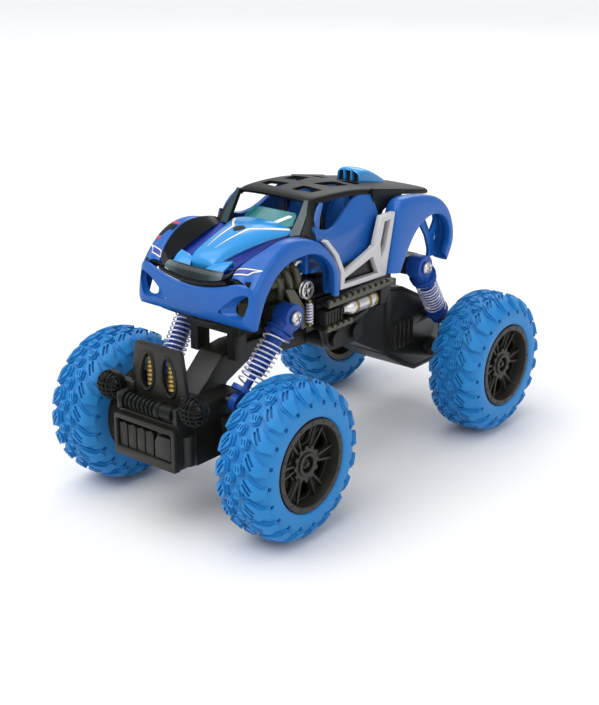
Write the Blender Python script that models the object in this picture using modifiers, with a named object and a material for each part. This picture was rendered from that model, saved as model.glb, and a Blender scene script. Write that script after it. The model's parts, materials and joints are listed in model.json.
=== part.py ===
"""A 1:20 remote-controlled off-road truck: four big wheels on two sprung swing units, under a buggy body.

Lengths are in millimetres here and are turned to metres where a shape is made. -Y is the truck's front, +X
its left side, and +Z is up. The origin is on the ground, under the middle of the truck. Heights are drawn
above a datum that is AXLE_Z below the axle lines, and build() then stands the truck on its tyres.
"""

import math

import bmesh
import bpy
from mathutils import Matrix, Vector

MM = 0.001
WELD = 0.00001

# Driving dimensions.
AXLE_Y = 69.9            # each axle line, from the middle of the truck
AXLE_Z = 32.0            # each axle line, above the drawing's datum
TYRE_RADIUS = 32.0       # over the lugs
TYRE_WIDTH = 25.5
TYRE_MID_X = 45.5        # middle plane of each tyre
LUG_HEIGHT = 2.2
LUG_TAPER = 0.84         # a lug's top, as a share of its foot
TYRE_STEPS = 32          # two for each lug of a row
SIDEWALL_HEIGHT = 4.8    # from the tread's foot in to the widest part of the sidewall
SHOULDER_WIDTH = 4.0     # of the sloping band beside the tread
CENTRE_HALF_WIDTH = 4.5  # of the tread's middle rows
RIM_RADIUS = 18.6
RIM_WALL = 2.2
RIM_RECESS = 0.5         # how far the rim's face sits inside the tyre's
RIM_STEPS = 24
HUB_RADIUS = 6.0
HUB_OUT = 9.5            # the hub's outer face, from the tyre's middle plane
HUB_IN = 6.0             # and its inner face
DISC_OUT = 7.0           # the disc's outer face at the hub
DISC_IN = 4.0
DISC_DISH = 1.0          # how much further out the disc meets the barrel
WINDOWS = 6
WINDOW_MARGIN = 1.3      # of disc left between a window and the hub or the barrel
AXLE_RADIUS = 1.7
AXLE_END = 9.0           # how far an axle reaches past the tyre's middle plane
COLLAR_RADIUS = 3.4
GAP = 0.3                # between pieces that are clamped or pressed together
RUN = 0.5                # between pieces that turn or slide on each other

# Swing units, which carry the axles and turn on pins under the middle of the chassis.
PIVOT_Y = 7.0
PIVOT_Z = 57.0
PIVOT_EYE_RADIUS = 5.0
PIVOT_PIN_RADIUS = 2.0
UNIT_HALF_WIDTH = 15.0
FRONT_BOX_HALF_WIDTH = UNIT_HALF_WIDTH + 1.0
CASE_WALL = 1.6
ARM_HALF_HEIGHT = 4.6    # of a swing arm at its pivot

# Shock absorbers: the upper screw and the lower pin, for the rear left corner.
SHOCK_TOP = (UNIT_HALF_WIDTH + 10.0, 45.0, 78.0)
SHOCK_FOOT = (UNIT_HALF_WIDTH + 5.2, AXLE_Y + 0.1, AXLE_Z + 16.0)
EAR_RADIUS = 5.4
EAR_THICKNESS = 7.0
TOWER_REACH = 8.0        # the tower stays within this distance of the screw, and the cap is cut back to it
SCREW_RADIUS = 1.5
SCREW_REACH = 7.0        # from the shock's middle into the tower
SCREW_HEAD_RADIUS = 2.9
SCREW_HEAD_HEIGHT = 1.8
SHOCK_PIN_RADIUS = 1.8
CAP_LENGTH = 9.0         # from the screw down to the spring's upper seat
CAP_RADIUS = 5.6
NECK_RADIUS = 4.4
CYLINDER_END = 26.0      # from the screw down to the cylinder's mouth
CYLINDER_RADIUS = 3.2
SEAT_UP = 6.2            # from the lower pin up to the spring's lower seat
SEAT_THICKNESS = 2.0
SEAT_RADIUS = 5.4
EYE_THICKNESS = 3.4
EYE_RADIUS = 3.8
ROD_RADIUS = 1.5
ROD_OVERLAP = 8.0        # of the rod inside the cylinder at rest
SPRING_RADIUS = 4.9      # to the middle of the wire
WIRE_RADIUS = 0.45
SPRING_TURNS = 7
SPRING_TURN_STEPS = 9

# Steering.
KINGPIN_X = UNIT_HALF_WIDTH + 11.0
KINGPIN_RADIUS = 2.0
STEER_ARM = 12.4         # from the kingpin back to the rack's hole
SERVO_ARM = 8.5
STEER_PIN_RADIUS = 1.2
SERVO_SHAFT_RADIUS = 1.4

# Gear train.
MODULE = 0.5
WHEEL_TEETH = 24
PINION_TEETH = 10
GEAR_LINE_ANGLE = math.radians(138.5)   # from the rear axle to the motor, from +Y towards +Z
MOTOR_RADIUS = 10.0
MOTOR_SHAFT_RADIUS = 1.0

# Body.
BODY_HALF_WIDTH = 31.0
FENDER_INNER_X = 21.0
PANEL = 2.0

BLUE = (0.02, 0.16, 0.62, 1.0)
TYRE_BLUE = (0.01, 0.25, 0.80, 1.0)
BLACK = (0.02, 0.02, 0.02, 1.0)
STEEL = (0.62, 0.62, 0.62, 1.0)
SILVER = (0.72, 0.70, 0.72, 1.0)
TEAL = (0.02, 0.35, 0.40, 1.0)
GREEN = (0.02, 0.22, 0.08, 1.0)
CREAM = (0.85, 0.83, 0.76, 1.0)

FRONT = -1
REAR = 1


def fresh_collection(name):
    """Clears the scene and gives the collection that the truck's pieces go in."""
    for obj in list(bpy.data.objects):
        bpy.data.objects.remove(obj, do_unlink=True)
    made = bpy.data.collections.new(name)
    bpy.context.scene.collection.children.link(made)
    return made


TRUCK = fresh_collection("off_road_truck")


def material(name, colour, roughness, metallic=0.0):
    """One Principled material for each piece, so that a piece can be repainted by itself."""
    made = bpy.data.materials.new(name)
    made.use_nodes = True
    shader = made.node_tree.nodes["Principled BSDF"]
    shader.inputs["Base Color"].default_value = colour
    shader.inputs["Roughness"].default_value = roughness
    shader.inputs["Metallic"].default_value = metallic
    return made


def new_object(name, mesh):
    obj = bpy.data.objects.new(name, mesh)
    TRUCK.objects.link(obj)
    return obj


def as_mesh(obj):
    """The evaluated shape as a plain mesh in world space, with its seams welded and its faces outward."""
    bpy.context.view_layer.update()
    evaluated = obj.evaluated_get(bpy.context.evaluated_depsgraph_get())
    mesh = bpy.data.meshes.new_from_object(evaluated)
    mesh.transform(obj.matrix_world)
    shape = bmesh.new()
    shape.from_mesh(mesh)
    bmesh.ops.remove_doubles(shape, verts=shape.verts, dist=WELD)
    bmesh.ops.recalc_face_normals(shape, faces=shape.faces)
    shape.to_mesh(mesh)
    shape.free()
    name = obj.name
    bpy.data.objects.remove(obj, do_unlink=True)
    return new_object(name, mesh)


def finish(obj, colour, roughness, metallic=0.0, origin=None, smooth=True):
    """Gives a piece its material and its origin, which is on its joint's axis if it moves."""
    obj.data.materials.clear()
    obj.data.materials.append(material(obj.name, colour, roughness, metallic))
    if origin is not None:
        place = Vector(origin) * MM
        obj.data.transform(Matrix.Translation(-place))
        obj.location = place
    if smooth:
        obj.data.shade_smooth()
        obj.data.set_sharp_from_angle(angle=math.radians(35))
    return obj


def combine(obj, others, operation):
    """Joins the others to the object, or cuts them from it, and removes them."""
    for index, other in enumerate(others):
        modifier = obj.modifiers.new(f"{operation.lower()}_{index}", "BOOLEAN")
        modifier.operation = operation
        modifier.solver = "EXACT"
        modifier.object = other
    made = as_mesh(obj)
    for other in others:
        bpy.data.objects.remove(other, do_unlink=True)
    return made


def join(obj, *others):
    return combine(obj, others, "UNION")


def cut(obj, *others):
    return combine(obj, others, "DIFFERENCE")


def box(name, low, high):
    """A block between two corners."""
    mesh = bpy.data.meshes.new(name)
    shape = bmesh.new()
    size = [(h - l) * MM for l, h in zip(low, high)]
    middle = [(h + l) / 2 * MM for l, h in zip(low, high)]
    bmesh.ops.create_cube(shape, size=1.0, matrix=Matrix.Translation(middle) @ Matrix.Diagonal((*size, 1.0)))
    shape.to_mesh(mesh)
    shape.free()
    return new_object(name, mesh)


def rod(name, start, end, radius, sides=16, end_radius=None):
    """A round bar or a cone between two points."""
    first = Vector(start) * MM
    last = Vector(end) * MM
    turn = (last - first).to_track_quat("Z", "Y").to_matrix().to_4x4()
    mesh = bpy.data.meshes.new(name)
    shape = bmesh.new()
    bmesh.ops.create_cone(
        shape,
        cap_ends=True,
        segments=sides,
        radius1=radius * MM,
        radius2=(radius if end_radius is None else end_radius) * MM,
        depth=(last - first).length,
        matrix=Matrix.Translation((first + last) / 2) @ turn,
    )
    shape.to_mesh(mesh)
    shape.free()
    return new_object(name, mesh)


# Where a flat outline's first and second coordinates and its thickness point.
PLANES = {
    "YZ": Matrix(((0, 0, 1), (1, 0, 0), (0, 1, 0))),
    "XY": Matrix(((1, 0, 0), (0, 1, 0), (0, 0, 1))),
    "ZX": Matrix(((0, 1, 0), (0, 0, 1), (1, 0, 0))),
}


def plate(name, plane, outlines, low, high):
    """A flat shape between two levels. The first outline is its edge, and any others are holes."""
    curve = bpy.data.curves.new(name, "CURVE")
    curve.dimensions = "2D"
    curve.fill_mode = "BOTH"
    curve.extrude = (high - low) / 2 * MM
    for outline in outlines:
        spline = curve.splines.new("POLY")
        spline.points.add(len(outline) - 1)
        for point, (first, second) in zip(spline.points, outline):
            point.co = (first * MM, second * MM, 0.0, 1.0)
        spline.use_cyclic_u = True
    obj = new_object(name, curve)
    turn = PLANES[plane].to_4x4()
    obj.matrix_world = turn @ Matrix.Translation((0, 0, (low + high) / 2 * MM))
    return as_mesh(obj)


def turned(name, profile, centre, axis, steps):
    """A turned shape. The profile lists (radius, height along the axis) and runs down its outer side."""
    mesh = bpy.data.meshes.new(name)
    points = [(radius * MM, 0.0, height * MM) for radius, height in profile]
    closed = profile[0] == profile[-1]
    if closed:
        points.pop()
    edges = [(i, i + 1) for i in range(len(points) - 1)]
    if closed:
        edges.append((len(points) - 1, 0))
    mesh.from_pydata(points, edges, [])
    obj = new_object(name, mesh)
    screw = obj.modifiers.new("turn", "SCREW")
    screw.axis = "Z"
    screw.steps = steps
    screw.render_steps = steps
    screw.use_merge_vertices = True
    screw.merge_threshold = WELD
    turn = Vector(axis).to_track_quat("Z", "Y").to_matrix().to_4x4()
    obj.matrix_world = Matrix.Translation(Vector(centre) * MM) @ turn
    return as_mesh(obj)


def inset(outline, depth):
    """An outline moved inward by a wall's thickness. The outline runs anticlockwise."""
    moved = []
    for index, point in enumerate(outline):
        here = Vector(point)
        before = (here - Vector(outline[index - 1])).normalized()
        after = (Vector(outline[(index + 1) % len(outline)]) - here).normalized()
        left_before = Vector((-before.y, before.x))
        left_after = Vector((-after.y, after.x))
        mitre = (left_before + left_after).normalized()
        moved.append(tuple(here + mitre * depth / max(mitre.dot(left_after), 0.4)))
    return moved


def arc(centre, radius, start, end, steps):
    """Points on a circle from one angle to another, in degrees."""
    angles = [math.radians(start + (end - start) * i / steps) for i in range(steps + 1)]
    return [(centre[0] + radius * math.cos(a), centre[1] + radius * math.sin(a)) for a in angles]


def mirrored(outline):
    return [(-first, second) for first, second in reversed(outline)]


# Wheels

def make_tyre(name, side, axle_y):
    """A rubber tyre: a carcass whose tread and shoulder squares rise as lugs, staggered from row to row."""
    carcass = TYRE_RADIUS - LUG_HEIGHT
    half = TYRE_WIDTH / 2
    bead = RIM_RADIUS + GAP
    profile = [
        (bead, half - RIM_RECESS - 0.1),
        (carcass - SIDEWALL_HEIGHT, half),
        (carcass, half - SHOULDER_WIDTH),
        (carcass, CENTRE_HALF_WIDTH),
    ]
    profile += [(radius, -height) for radius, height in reversed(profile)]
    centre = (side * TYRE_MID_X, axle_y, AXLE_Z)
    tyre = turned(name, profile + profile[:1], centre, (1, 0, 0), TYRE_STEPS)
    shape = bmesh.new()
    shape.from_mesh(tyre.data)
    middle = Vector(centre) * MM
    lugs = []
    for face in shape.faces:
        offset = face.calc_center_median() - middle
        across = offset.x / MM
        column = int(math.atan2(offset.z, offset.y) % (2 * math.pi) / (2 * math.pi) * TYRE_STEPS)
        out = face.normal.dot(Vector((0, offset.y, offset.z)).normalized())
        in_middle = abs(across) < CENTRE_HALF_WIDTH
        if out > 0.3 and (column + (across > 0) + in_middle) % 2 == 0:
            lugs.append(face)
    for face in bmesh.ops.extrude_discrete_faces(shape, faces=lugs)["faces"]:
        face_middle = face.calc_center_median()
        for vert in face.verts:
            vert.co = face_middle.lerp(vert.co, LUG_TAPER)
            radial = vert.co - middle
            radial.x = 0.0
            room = TYRE_RADIUS * MM - radial.length
            vert.co += radial.normalized() * min(room, LUG_HEIGHT * MM)
    shape.to_mesh(tyre.data)
    shape.free()
    return finish(tyre, TYRE_BLUE, 0.55, origin=centre, smooth=False)


def make_rim(name, side, axle_y):
    """A moulded rim: a barrel with a flange ring, a disc with windows and a hub bored for the axle."""
    face = TYRE_WIDTH / 2 - RIM_RECESS
    inner = RIM_RADIUS - RIM_WALL
    bore = AXLE_RADIUS + GAP
    profile = [
        (bore, HUB_OUT), (HUB_RADIUS, HUB_OUT), (HUB_RADIUS, DISC_OUT), (inner, DISC_OUT + DISC_DISH),
        (inner, face), (RIM_RADIUS, face), (RIM_RADIUS, 1.0 - face), (inner, 1.0 - face),
        (inner, DISC_IN + DISC_DISH), (HUB_RADIUS, DISC_IN), (HUB_RADIUS - 1.0, -HUB_IN), (bore, -HUB_IN),
    ]
    centre = (side * TYRE_MID_X, axle_y, AXLE_Z)
    rim = turned(name, profile + profile[:1], centre, (side, 0, 0), RIM_STEPS)
    middle = (inner + HUB_RADIUS) / 2
    radius = (inner - HUB_RADIUS) / 2 - WINDOW_MARGIN
    windows = []
    for index in range(WINDOWS):
        angle = 2 * math.pi * index / WINDOWS
        y = axle_y + middle * math.cos(angle)
        z = AXLE_Z + middle * math.sin(angle)
        start = side * (TYRE_MID_X + DISC_IN - 6.0)
        end = side * (TYRE_MID_X + DISC_OUT + 4.0)
        windows.append(rod(f"window_{index}", (start, y, z), (end, y, z), radius, 8))
    return finish(cut(rim, *windows), BLACK, 0.5, origin=centre)


# Shock absorbers

def shock_points(side, end):
    top = Vector((side * SHOCK_TOP[0], end * SHOCK_TOP[1], SHOCK_TOP[2]))
    foot = Vector((side * SHOCK_FOOT[0], end * SHOCK_FOOT[1], SHOCK_FOOT[2]))
    return top, foot, (foot - top).normalized()


def make_shock_cap(name, side, end):
    """The upper half: a flat ear for the screw, a round cap over the spring, and the bored cylinder."""
    top, foot, down = shock_points(side, end)
    over = 0.5
    ear_reach = Vector((EAR_THICKNESS / 2 + over, 0, 0))
    ear = rod(name, top - ear_reach, top + ear_reach, EAR_RADIUS, 20)
    neck = rod("neck", top + down * 1.5, top + down * CAP_LENGTH, NECK_RADIUS, 16, CAP_RADIUS)
    cylinder = rod("cylinder", top + down * (CAP_LENGTH - 1), top + down * CYLINDER_END, CYLINDER_RADIUS, 16)
    reach = Vector((EAR_THICKNESS, 0, 0))
    hole = rod("hole", top - reach, top + reach, SCREW_RADIUS + RUN, 12)
    outside = Vector((side, 0, 0))
    outer = top + outside * (EAR_THICKNESS / 2)
    inner = top - outside * (EAR_THICKNESS / 2)
    flat = rod("flat", outer, outer + outside * EAR_THICKNESS, CAP_RADIUS + 2.4, 12)
    swing = rod("swing", inner, inner - outside * EAR_THICKNESS, TOWER_REACH + RUN, 20)
    bore_top = top + down * (CYLINDER_END - ROD_OVERLAP - 7.5)
    bore = rod("bore", bore_top, top + down * (CYLINDER_END + 2), ROD_RADIUS + RUN, 12)
    cap = join(ear, neck, cylinder)
    return finish(cut(cap, hole, flat, swing, bore), BLUE, 0.4, origin=top)


def make_shock_rod(name, side, end):
    """The lower half: a rod that slides in the cylinder, the spring's lower seat, and an eye for its pin."""
    top, foot, down = shock_points(side, end)
    eye_reach = Vector((EYE_THICKNESS / 2, 0, 0))
    eye = rod(name, foot - eye_reach, foot + eye_reach, EYE_RADIUS, 16)
    rod_top = top + down * (CYLINDER_END - ROD_OVERLAP)
    shaft = rod("shaft", foot - down * (EYE_RADIUS - 1), rod_top, ROD_RADIUS, 12)
    seat = rod("seat", foot - down * (SEAT_UP - SEAT_THICKNESS), foot - down * SEAT_UP, SEAT_RADIUS, 16)
    lower = join(eye, shaft, seat)
    hole = rod("hole", foot - eye_reach * 2, foot + eye_reach * 2, SHOCK_PIN_RADIUS + RUN, 12)
    return finish(cut(lower, hole), BLUE, 0.4, origin=foot)


def make_spring(name, side, end):
    """A steel coil between the cap and the lower seat."""
    top, foot, down = shock_points(side, end)
    first = CAP_LENGTH + GAP + WIRE_RADIUS
    last = (foot - top).length - SEAT_UP - GAP - WIRE_RADIUS
    steps = SPRING_TURNS * SPRING_TURN_STEPS
    across = down.cross(Vector((0, 0, 1))).normalized()
    other = down.cross(across)
    curve = bpy.data.curves.new(name, "CURVE")
    curve.dimensions = "3D"
    curve.bevel_depth = WIRE_RADIUS * MM
    curve.bevel_resolution = 0
    curve.use_fill_caps = True
    spline = curve.splines.new("POLY")
    spline.points.add(steps)
    for index, point in enumerate(spline.points):
        angle = 2 * math.pi * index / SPRING_TURN_STEPS
        along = first + (last - first) * index / steps
        place = top + down * along + (across * math.cos(angle) + other * math.sin(angle)) * SPRING_RADIUS
        point.co = (*(place * MM), 1.0)
    return finish(as_mesh(new_object(name, curve)), STEEL, 0.3, 1.0, origin=top)


def make_shock_screw(name, side, end):
    """A pan-head screw with a cross slot, which the shock's ear turns on."""
    top, foot, down = shock_points(side, end)
    outside = Vector((side, 0, 0))
    under_head = top + outside * (EAR_THICKNESS / 2 + GAP)
    over_head = under_head + outside * SCREW_HEAD_HEIGHT
    head = rod(name, under_head, over_head, SCREW_HEAD_RADIUS, 16, SCREW_HEAD_RADIUS - 0.7)
    shank = rod("shank", under_head + outside * 0.5, top - outside * SCREW_REACH, SCREW_RADIUS, 12)
    bars = []
    for index, turn in enumerate((0.4, 0.4 + math.pi / 2)):
        slot_end = SCREW_HEAD_RADIUS - 1.0
        bar = box(f"bar_{index}", (-0.6, -slot_end, -0.35), (1.0, slot_end, 0.35))
        bar.matrix_world = Matrix.Translation(over_head * MM) @ Matrix.Rotation(turn, 4, "X")
        bars.append(bar)
    return finish(cut(join(head, shank), *bars), STEEL, 0.25, 1.0, origin=top)


# Front swing unit

CASE_FRONT_Y = -AXLE_Y - 18.1
CASE_REAR_Y = -AXLE_Y + 7.9
CASE_LOW_Z = AXLE_Z - 6.0
CASE_HIGH_Z = AXLE_Z + 18.0
KNUCKLE_LOW_Z = AXLE_Z - 6.0
KNUCKLE_HIGH_Z = AXLE_Z + 6.0
KNUCKLE_HALF = 3.2
KINGPIN_BOSS_RADIUS = 4.0
LUG_THICKNESS = 3.0
RACK_Y = -AXLE_Y + STEER_ARM
RACK_Z = AXLE_Z + 1.4
RACK_THICKNESS = 2.2
RACK_HALF_HEIGHT = 3.0
STEER_ARM_LOW_Z = AXLE_Z - 2.0
STEER_ARM_HIGH_Z = RACK_Z - RACK_THICKNESS / 2 - RUN
SERVO_Y = RACK_Y - SERVO_ARM
SERVO_LOW_Z = AXLE_Z + 3.5
SERVO_HALF_WIDTH = 11.0


def unit_bore(end):
    """The hole along the pivot pin."""
    reach = UNIT_HALF_WIDTH * 2
    start = (-reach, end * PIVOT_Y, PIVOT_Z)
    return rod("pivot_bore", start, (reach, end * PIVOT_Y, PIVOT_Z), PIVOT_PIN_RADIUS + RUN, 16)


def unit_barrel(end):
    """The round eye of a swing arm, around the pivot pin."""
    half, y = UNIT_HALF_WIDTH, end * PIVOT_Y
    return rod("barrel", (-half, y, PIVOT_Z), (half, y, PIVOT_Z), PIVOT_EYE_RADIUS, 20)


def shock_pin(side, end):
    """The lower pin of one shock, standing out of its unit's case."""
    foot = Vector((side * SHOCK_FOOT[0], end * SHOCK_FOOT[1], SHOCK_FOOT[2]))
    inner = Vector((side * (UNIT_HALF_WIDTH - 0.8), foot.y, foot.z))
    outer = foot + Vector((side * (EYE_THICKNESS / 2 + 1.6), 0, 0))
    return rod(f"shock_pin_{side}", inner, outer, SHOCK_PIN_RADIUS, 12)


def make_front_axle_housing():
    """The front case for the steering motor, its swing arm, the steering forks and the lower shock pins."""
    half = UNIT_HALF_WIDTH
    case = box("front_axle_housing", (-half, CASE_FRONT_Y, CASE_LOW_Z), (half, CASE_REAR_Y, CASE_HIGH_Z))
    arm_outline = [
        (CASE_FRONT_Y + 8, CASE_HIGH_Z - 2), (CASE_REAR_Y - 2, CASE_HIGH_Z - 4),
        (CASE_REAR_Y + 2, CASE_HIGH_Z + 0.5), (CASE_REAR_Y + 15, PIVOT_Z - 1),
        (-PIVOT_Y, PIVOT_Z - ARM_HALF_HEIGHT), (-PIVOT_Y, PIVOT_Z + ARM_HALF_HEIGHT),
        (CASE_REAR_Y + 10, PIVOT_Z + 7), (CASE_REAR_Y - 1, PIVOT_Z + 5.5), (CASE_REAR_Y - 10, PIVOT_Z - 3),
    ]
    arm = plate("arm", "YZ", [arm_outline], -6, 6)
    pieces = [arm, unit_barrel(FRONT), shock_pin(-1, FRONT), shock_pin(1, FRONT)]
    boss = KINGPIN_BOSS_RADIUS
    lug_end = arc((KINGPIN_X, -AXLE_Y), boss, -90, 90, 8)
    low = KNUCKLE_LOW_Z - RUN - LUG_THICKNESS
    high = KNUCKLE_HIGH_Z + RUN
    for side in (-1, 1):
        outline = [(half - 1, -AXLE_Y - boss), *lug_end, (half - 1, -AXLE_Y + boss)]
        if side < 0:
            outline = mirrored(outline)
        pieces.append(plate(f"low_lug_{side}", "XY", [outline], low, low + LUG_THICKNESS))
        pieces.append(plate(f"high_lug_{side}", "XY", [outline], high, high + LUG_THICKNESS))
        inner, outer = sorted((side * (half - 0.7), side * (half + 2.5)))
        web_low = (inner, -AXLE_Y - boss + 0.5, low + 0.4)
        web_high = (outer, -AXLE_Y + boss - 0.5, high + LUG_THICKNESS - 0.4)
        pieces.append(box(f"web_{side}", web_low, web_high))
    housing = join(case, *pieces)
    wall = CASE_WALL
    slot_half = 6.5
    holes = [
        box(
            "room",
            (-half + wall, CASE_FRONT_Y - 1, CASE_LOW_Z + wall),
            (half - wall, CASE_REAR_Y - wall, CASE_HIGH_Z - wall),
        ),
        box(
            "arm_slot",
            (-slot_half, CASE_REAR_Y - wall - 1, CASE_LOW_Z + 3),
            (slot_half, CASE_REAR_Y + 1, RACK_Z + 3),
        ),
        unit_bore(FRONT),
    ]
    for side in (-1, 1):
        start = (side * KINGPIN_X, -AXLE_Y, low - 2)
        end = (side * KINGPIN_X, -AXLE_Y, high + LUG_THICKNESS + 2)
        holes.append(rod(f"kingpin_{side}", start, end, KINGPIN_RADIUS + RUN, 16))
    return finish(cut(housing, *holes), BLACK, 0.45, origin=(0, -PIVOT_Y, PIVOT_Z))


GRILLE_FRONT_Y = CASE_FRONT_Y - 13.6
GRILLE_HIGH_Z = AXLE_Z + 14.4
GRILLE_LOW_Z = AXLE_Z - 4.5
GRILLE_PANEL_DEPTH = 2.0
BACK_PLATE_Y = CASE_FRONT_Y - 4.6
BRACKET_Y = CASE_FRONT_Y - 3.4
DRUM_HALF = 10.4
DRUM_SHAFT_RADIUS = 1.2
DRUM_FLANGE_RADIUS = 3.5
POST_THICKNESS = 3.2
WINCH = (CASE_FRONT_Y - 10.0, AXLE_Z + 18.3)     # the drum's axis
LAMP_RADIUS = 6.0
LAMP_DEPTH = 7.0
LAMP = (FRONT_BOX_HALF_WIDTH + LAMP_RADIUS + 0.2, BRACKET_Y - LAMP_DEPTH - GAP, AXLE_Z + 21.3)


def make_front_box():
    """The front cover: a box with a ribbed panel, the lamp brackets and the plate with two oval holes."""
    half = FRONT_BOX_HALF_WIDTH
    rear = CASE_FRONT_Y - GAP
    cover = box("front_box", (-half, GRILLE_FRONT_Y, GRILLE_LOW_Z), (half, rear, GRILLE_HIGH_Z))
    base = AXLE_Z + 12.0
    plate_edge = [(base, 12.5), (base + 16.0, 14.5), (base + 27.0, 11.5), (base + 29.0, 9.0)]
    plate_outline = plate_edge + [(z, -x) for z, x in reversed(plate_edge)]
    ovals = []
    for side in (-1, 1):
        ovals.append([
            (base + 20.0 + 6.2 * math.cos(a), side * 6.2 + 3.0 * math.sin(a))
            for a in (2 * math.pi * i / 14 for i in range(14))
        ])
    back_plate = plate("back_plate", "ZX", [plate_outline[::-1], *ovals], BACK_PLATE_Y, BACK_PLATE_Y + 2.2)
    brackets = box(
        "brackets", (0.2 - LAMP[0], BRACKET_Y, base + 0.5), (LAMP[0] - 0.2, BRACKET_Y + 2.8, LAMP[2] - 0.8)
    )
    made = [back_plate, brackets]
    for side in (-1, 1):
        inner, outer = sorted((side * (DRUM_HALF + RUN), side * (DRUM_HALF + RUN + POST_THICKNESS)))
        post_low = (inner, WINCH[0] - 2, base + 1)
        made.append(box(f"post_{side}", post_low, (outer, BACK_PLATE_Y + 2, WINCH[1] + 3.1)))
        foot = (side * half, CASE_FRONT_Y - 5.5, GRILLE_LOW_Z + 1.5)
        made.append(rod(f"side_cylinder_{side}", foot, (*foot[:2], GRILLE_HIGH_Z - 5.4), 4.0, 16))
    made = join(cover, *made)
    panel = half - 3.5
    panel_rear = GRILLE_FRONT_Y + GRILLE_PANEL_DEPTH
    low, high = GRILLE_LOW_Z, GRILLE_HIGH_Z
    holes = [
        box("panel", (-panel, GRILLE_FRONT_Y - 1, low + 3), (panel, panel_rear, high - 2.9)),
        box("hollow", (2 - half, panel_rear + 3.1, low + 2), (half - 2, rear + 1, high - 4)),
        rod("drum_hole", (-half, *WINCH), (half, *WINCH), DRUM_SHAFT_RADIUS + GAP, 12),
    ]
    made = cut(made, *holes)
    ribs = []
    for index in range(5):
        x = -10.6 + 5.0 * index
        rib_low = (x, GRILLE_FRONT_Y + 0.6, GRILLE_LOW_Z + 2.0)
        ribs.append(box(f"rib_{index}", rib_low, (x + 2.0, panel_rear + 1.1, GRILLE_HIGH_Z - 2.4)))
    return finish(join(made, *ribs), BLACK, 0.45, origin=(0, -PIVOT_Y, PIVOT_Z))


def make_winch_drum():
    """The winch: a drum with two flanges and turns of rope, on its own shaft between the posts."""
    half = DRUM_HALF
    wound = half - 1.6
    end = half + RUN + POST_THICKNESS - 0.7
    flange = DRUM_FLANGE_RADIUS
    shaft = DRUM_SHAFT_RADIUS
    profile = [(0.0, end), (shaft, end), (shaft, half), (flange, half), (flange, wound)]
    turns = 5
    for index in range(turns):
        high = wound - index * 2 * wound / turns
        profile += [(flange - 1.5, high), (flange - 0.8, high - wound / turns)]
    profile += [(flange - 1.5, -wound), (flange, -wound), (flange, -half)]
    profile += [(shaft, -half), (shaft, -end), (0.0, -end)]
    drum = turned("winch_drum", profile, (0, *WINCH), (1, 0, 0), 12)
    return finish(drum, BLACK, 0.35, origin=(0, *WINCH))


def make_lamp(name, side):
    """A round lamp with a domed guard in front and a tapered back."""
    radius = LAMP_RADIUS
    profile = [(0.0, 3.0), (2.6, 2.6), (4.6, 1.5), (radius - 0.6, 0.2), (radius, 0.0), (radius, -2.2),
               (radius - 1.0, -3.4), (3.4, 0.4 - LAMP_DEPTH), (0.0, -LAMP_DEPTH)]
    centre = (side * LAMP[0], LAMP[1], LAMP[2])
    lamp = turned(name, profile, centre, (0, -1, 0), 20)
    return finish(lamp, BLACK, 0.35, origin=centre)


def make_steering_servo():
    """The steering motor: its case and the output shaft that points down."""
    low = (-SERVO_HALF_WIDTH, SERVO_Y - 14.0, SERVO_LOW_Z)
    high = (SERVO_HALF_WIDTH, CASE_REAR_Y - CASE_WALL - GAP, CASE_HIGH_Z - CASE_WALL - GAP - 0.6)
    body = box("steering_servo", low, high)
    foot = (0, SERVO_Y, STEER_ARM_LOW_Z - 0.4)
    shaft = rod("shaft", (0, SERVO_Y, SERVO_LOW_Z + 0.5), foot, SERVO_SHAFT_RADIUS, 12)
    return finish(join(body, shaft), BLACK, 0.5, origin=(0, SERVO_Y, SERVO_LOW_Z))


def rack_pin(x):
    """A pin that stands up through one of the rack's holes."""
    start = (x, RACK_Y, STEER_ARM_HIGH_Z - 0.5)
    return rod("pin", start, (x, RACK_Y, RACK_Z + RACK_THICKNESS / 2), STEER_PIN_RADIUS, 12)


def make_servo_arm():
    """The arm on the servo's shaft, whose pin stands in the rack's middle hole."""
    outline = arc((0, SERVO_Y), 3.2, 180, 360, 8) + arc((0, RACK_Y), 2.2, 0, 180, 8)
    low = STEER_ARM_LOW_Z
    high = STEER_ARM_HIGH_Z
    arm = plate("servo_arm", "XY", [outline], low, high)
    hole = rod("hole", (0, SERVO_Y, low - 1), (0, SERVO_Y, high + 1), SERVO_SHAFT_RADIUS + GAP, 12)
    return finish(cut(join(arm, rack_pin(0)), hole), CREAM, 0.5, origin=(0, SERVO_Y, low))


def make_steering_rack():
    """The bar behind the front axle that joins the servo arm to both knuckles."""
    radius = RACK_HALF_HEIGHT
    outline = arc((KINGPIN_X + 0.2, RACK_Y), radius, -90, 90, 8)
    outline += arc((-KINGPIN_X - 0.2, RACK_Y), radius, 90, 270, 8)
    low = RACK_Z - RACK_THICKNESS / 2
    rack = plate("steering_rack", "XY", [outline], low, low + RACK_THICKNESS)
    holes = [
        rod(f"hole_{x}", (x, RACK_Y, RACK_Z - 4), (x, RACK_Y, RACK_Z + 4), STEER_PIN_RADIUS + RUN, 14)
        for x in (-KINGPIN_X, 0.0, KINGPIN_X)
    ]
    return finish(cut(rack, *holes), CREAM, 0.5, origin=(0, RACK_Y, RACK_Z))


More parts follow.
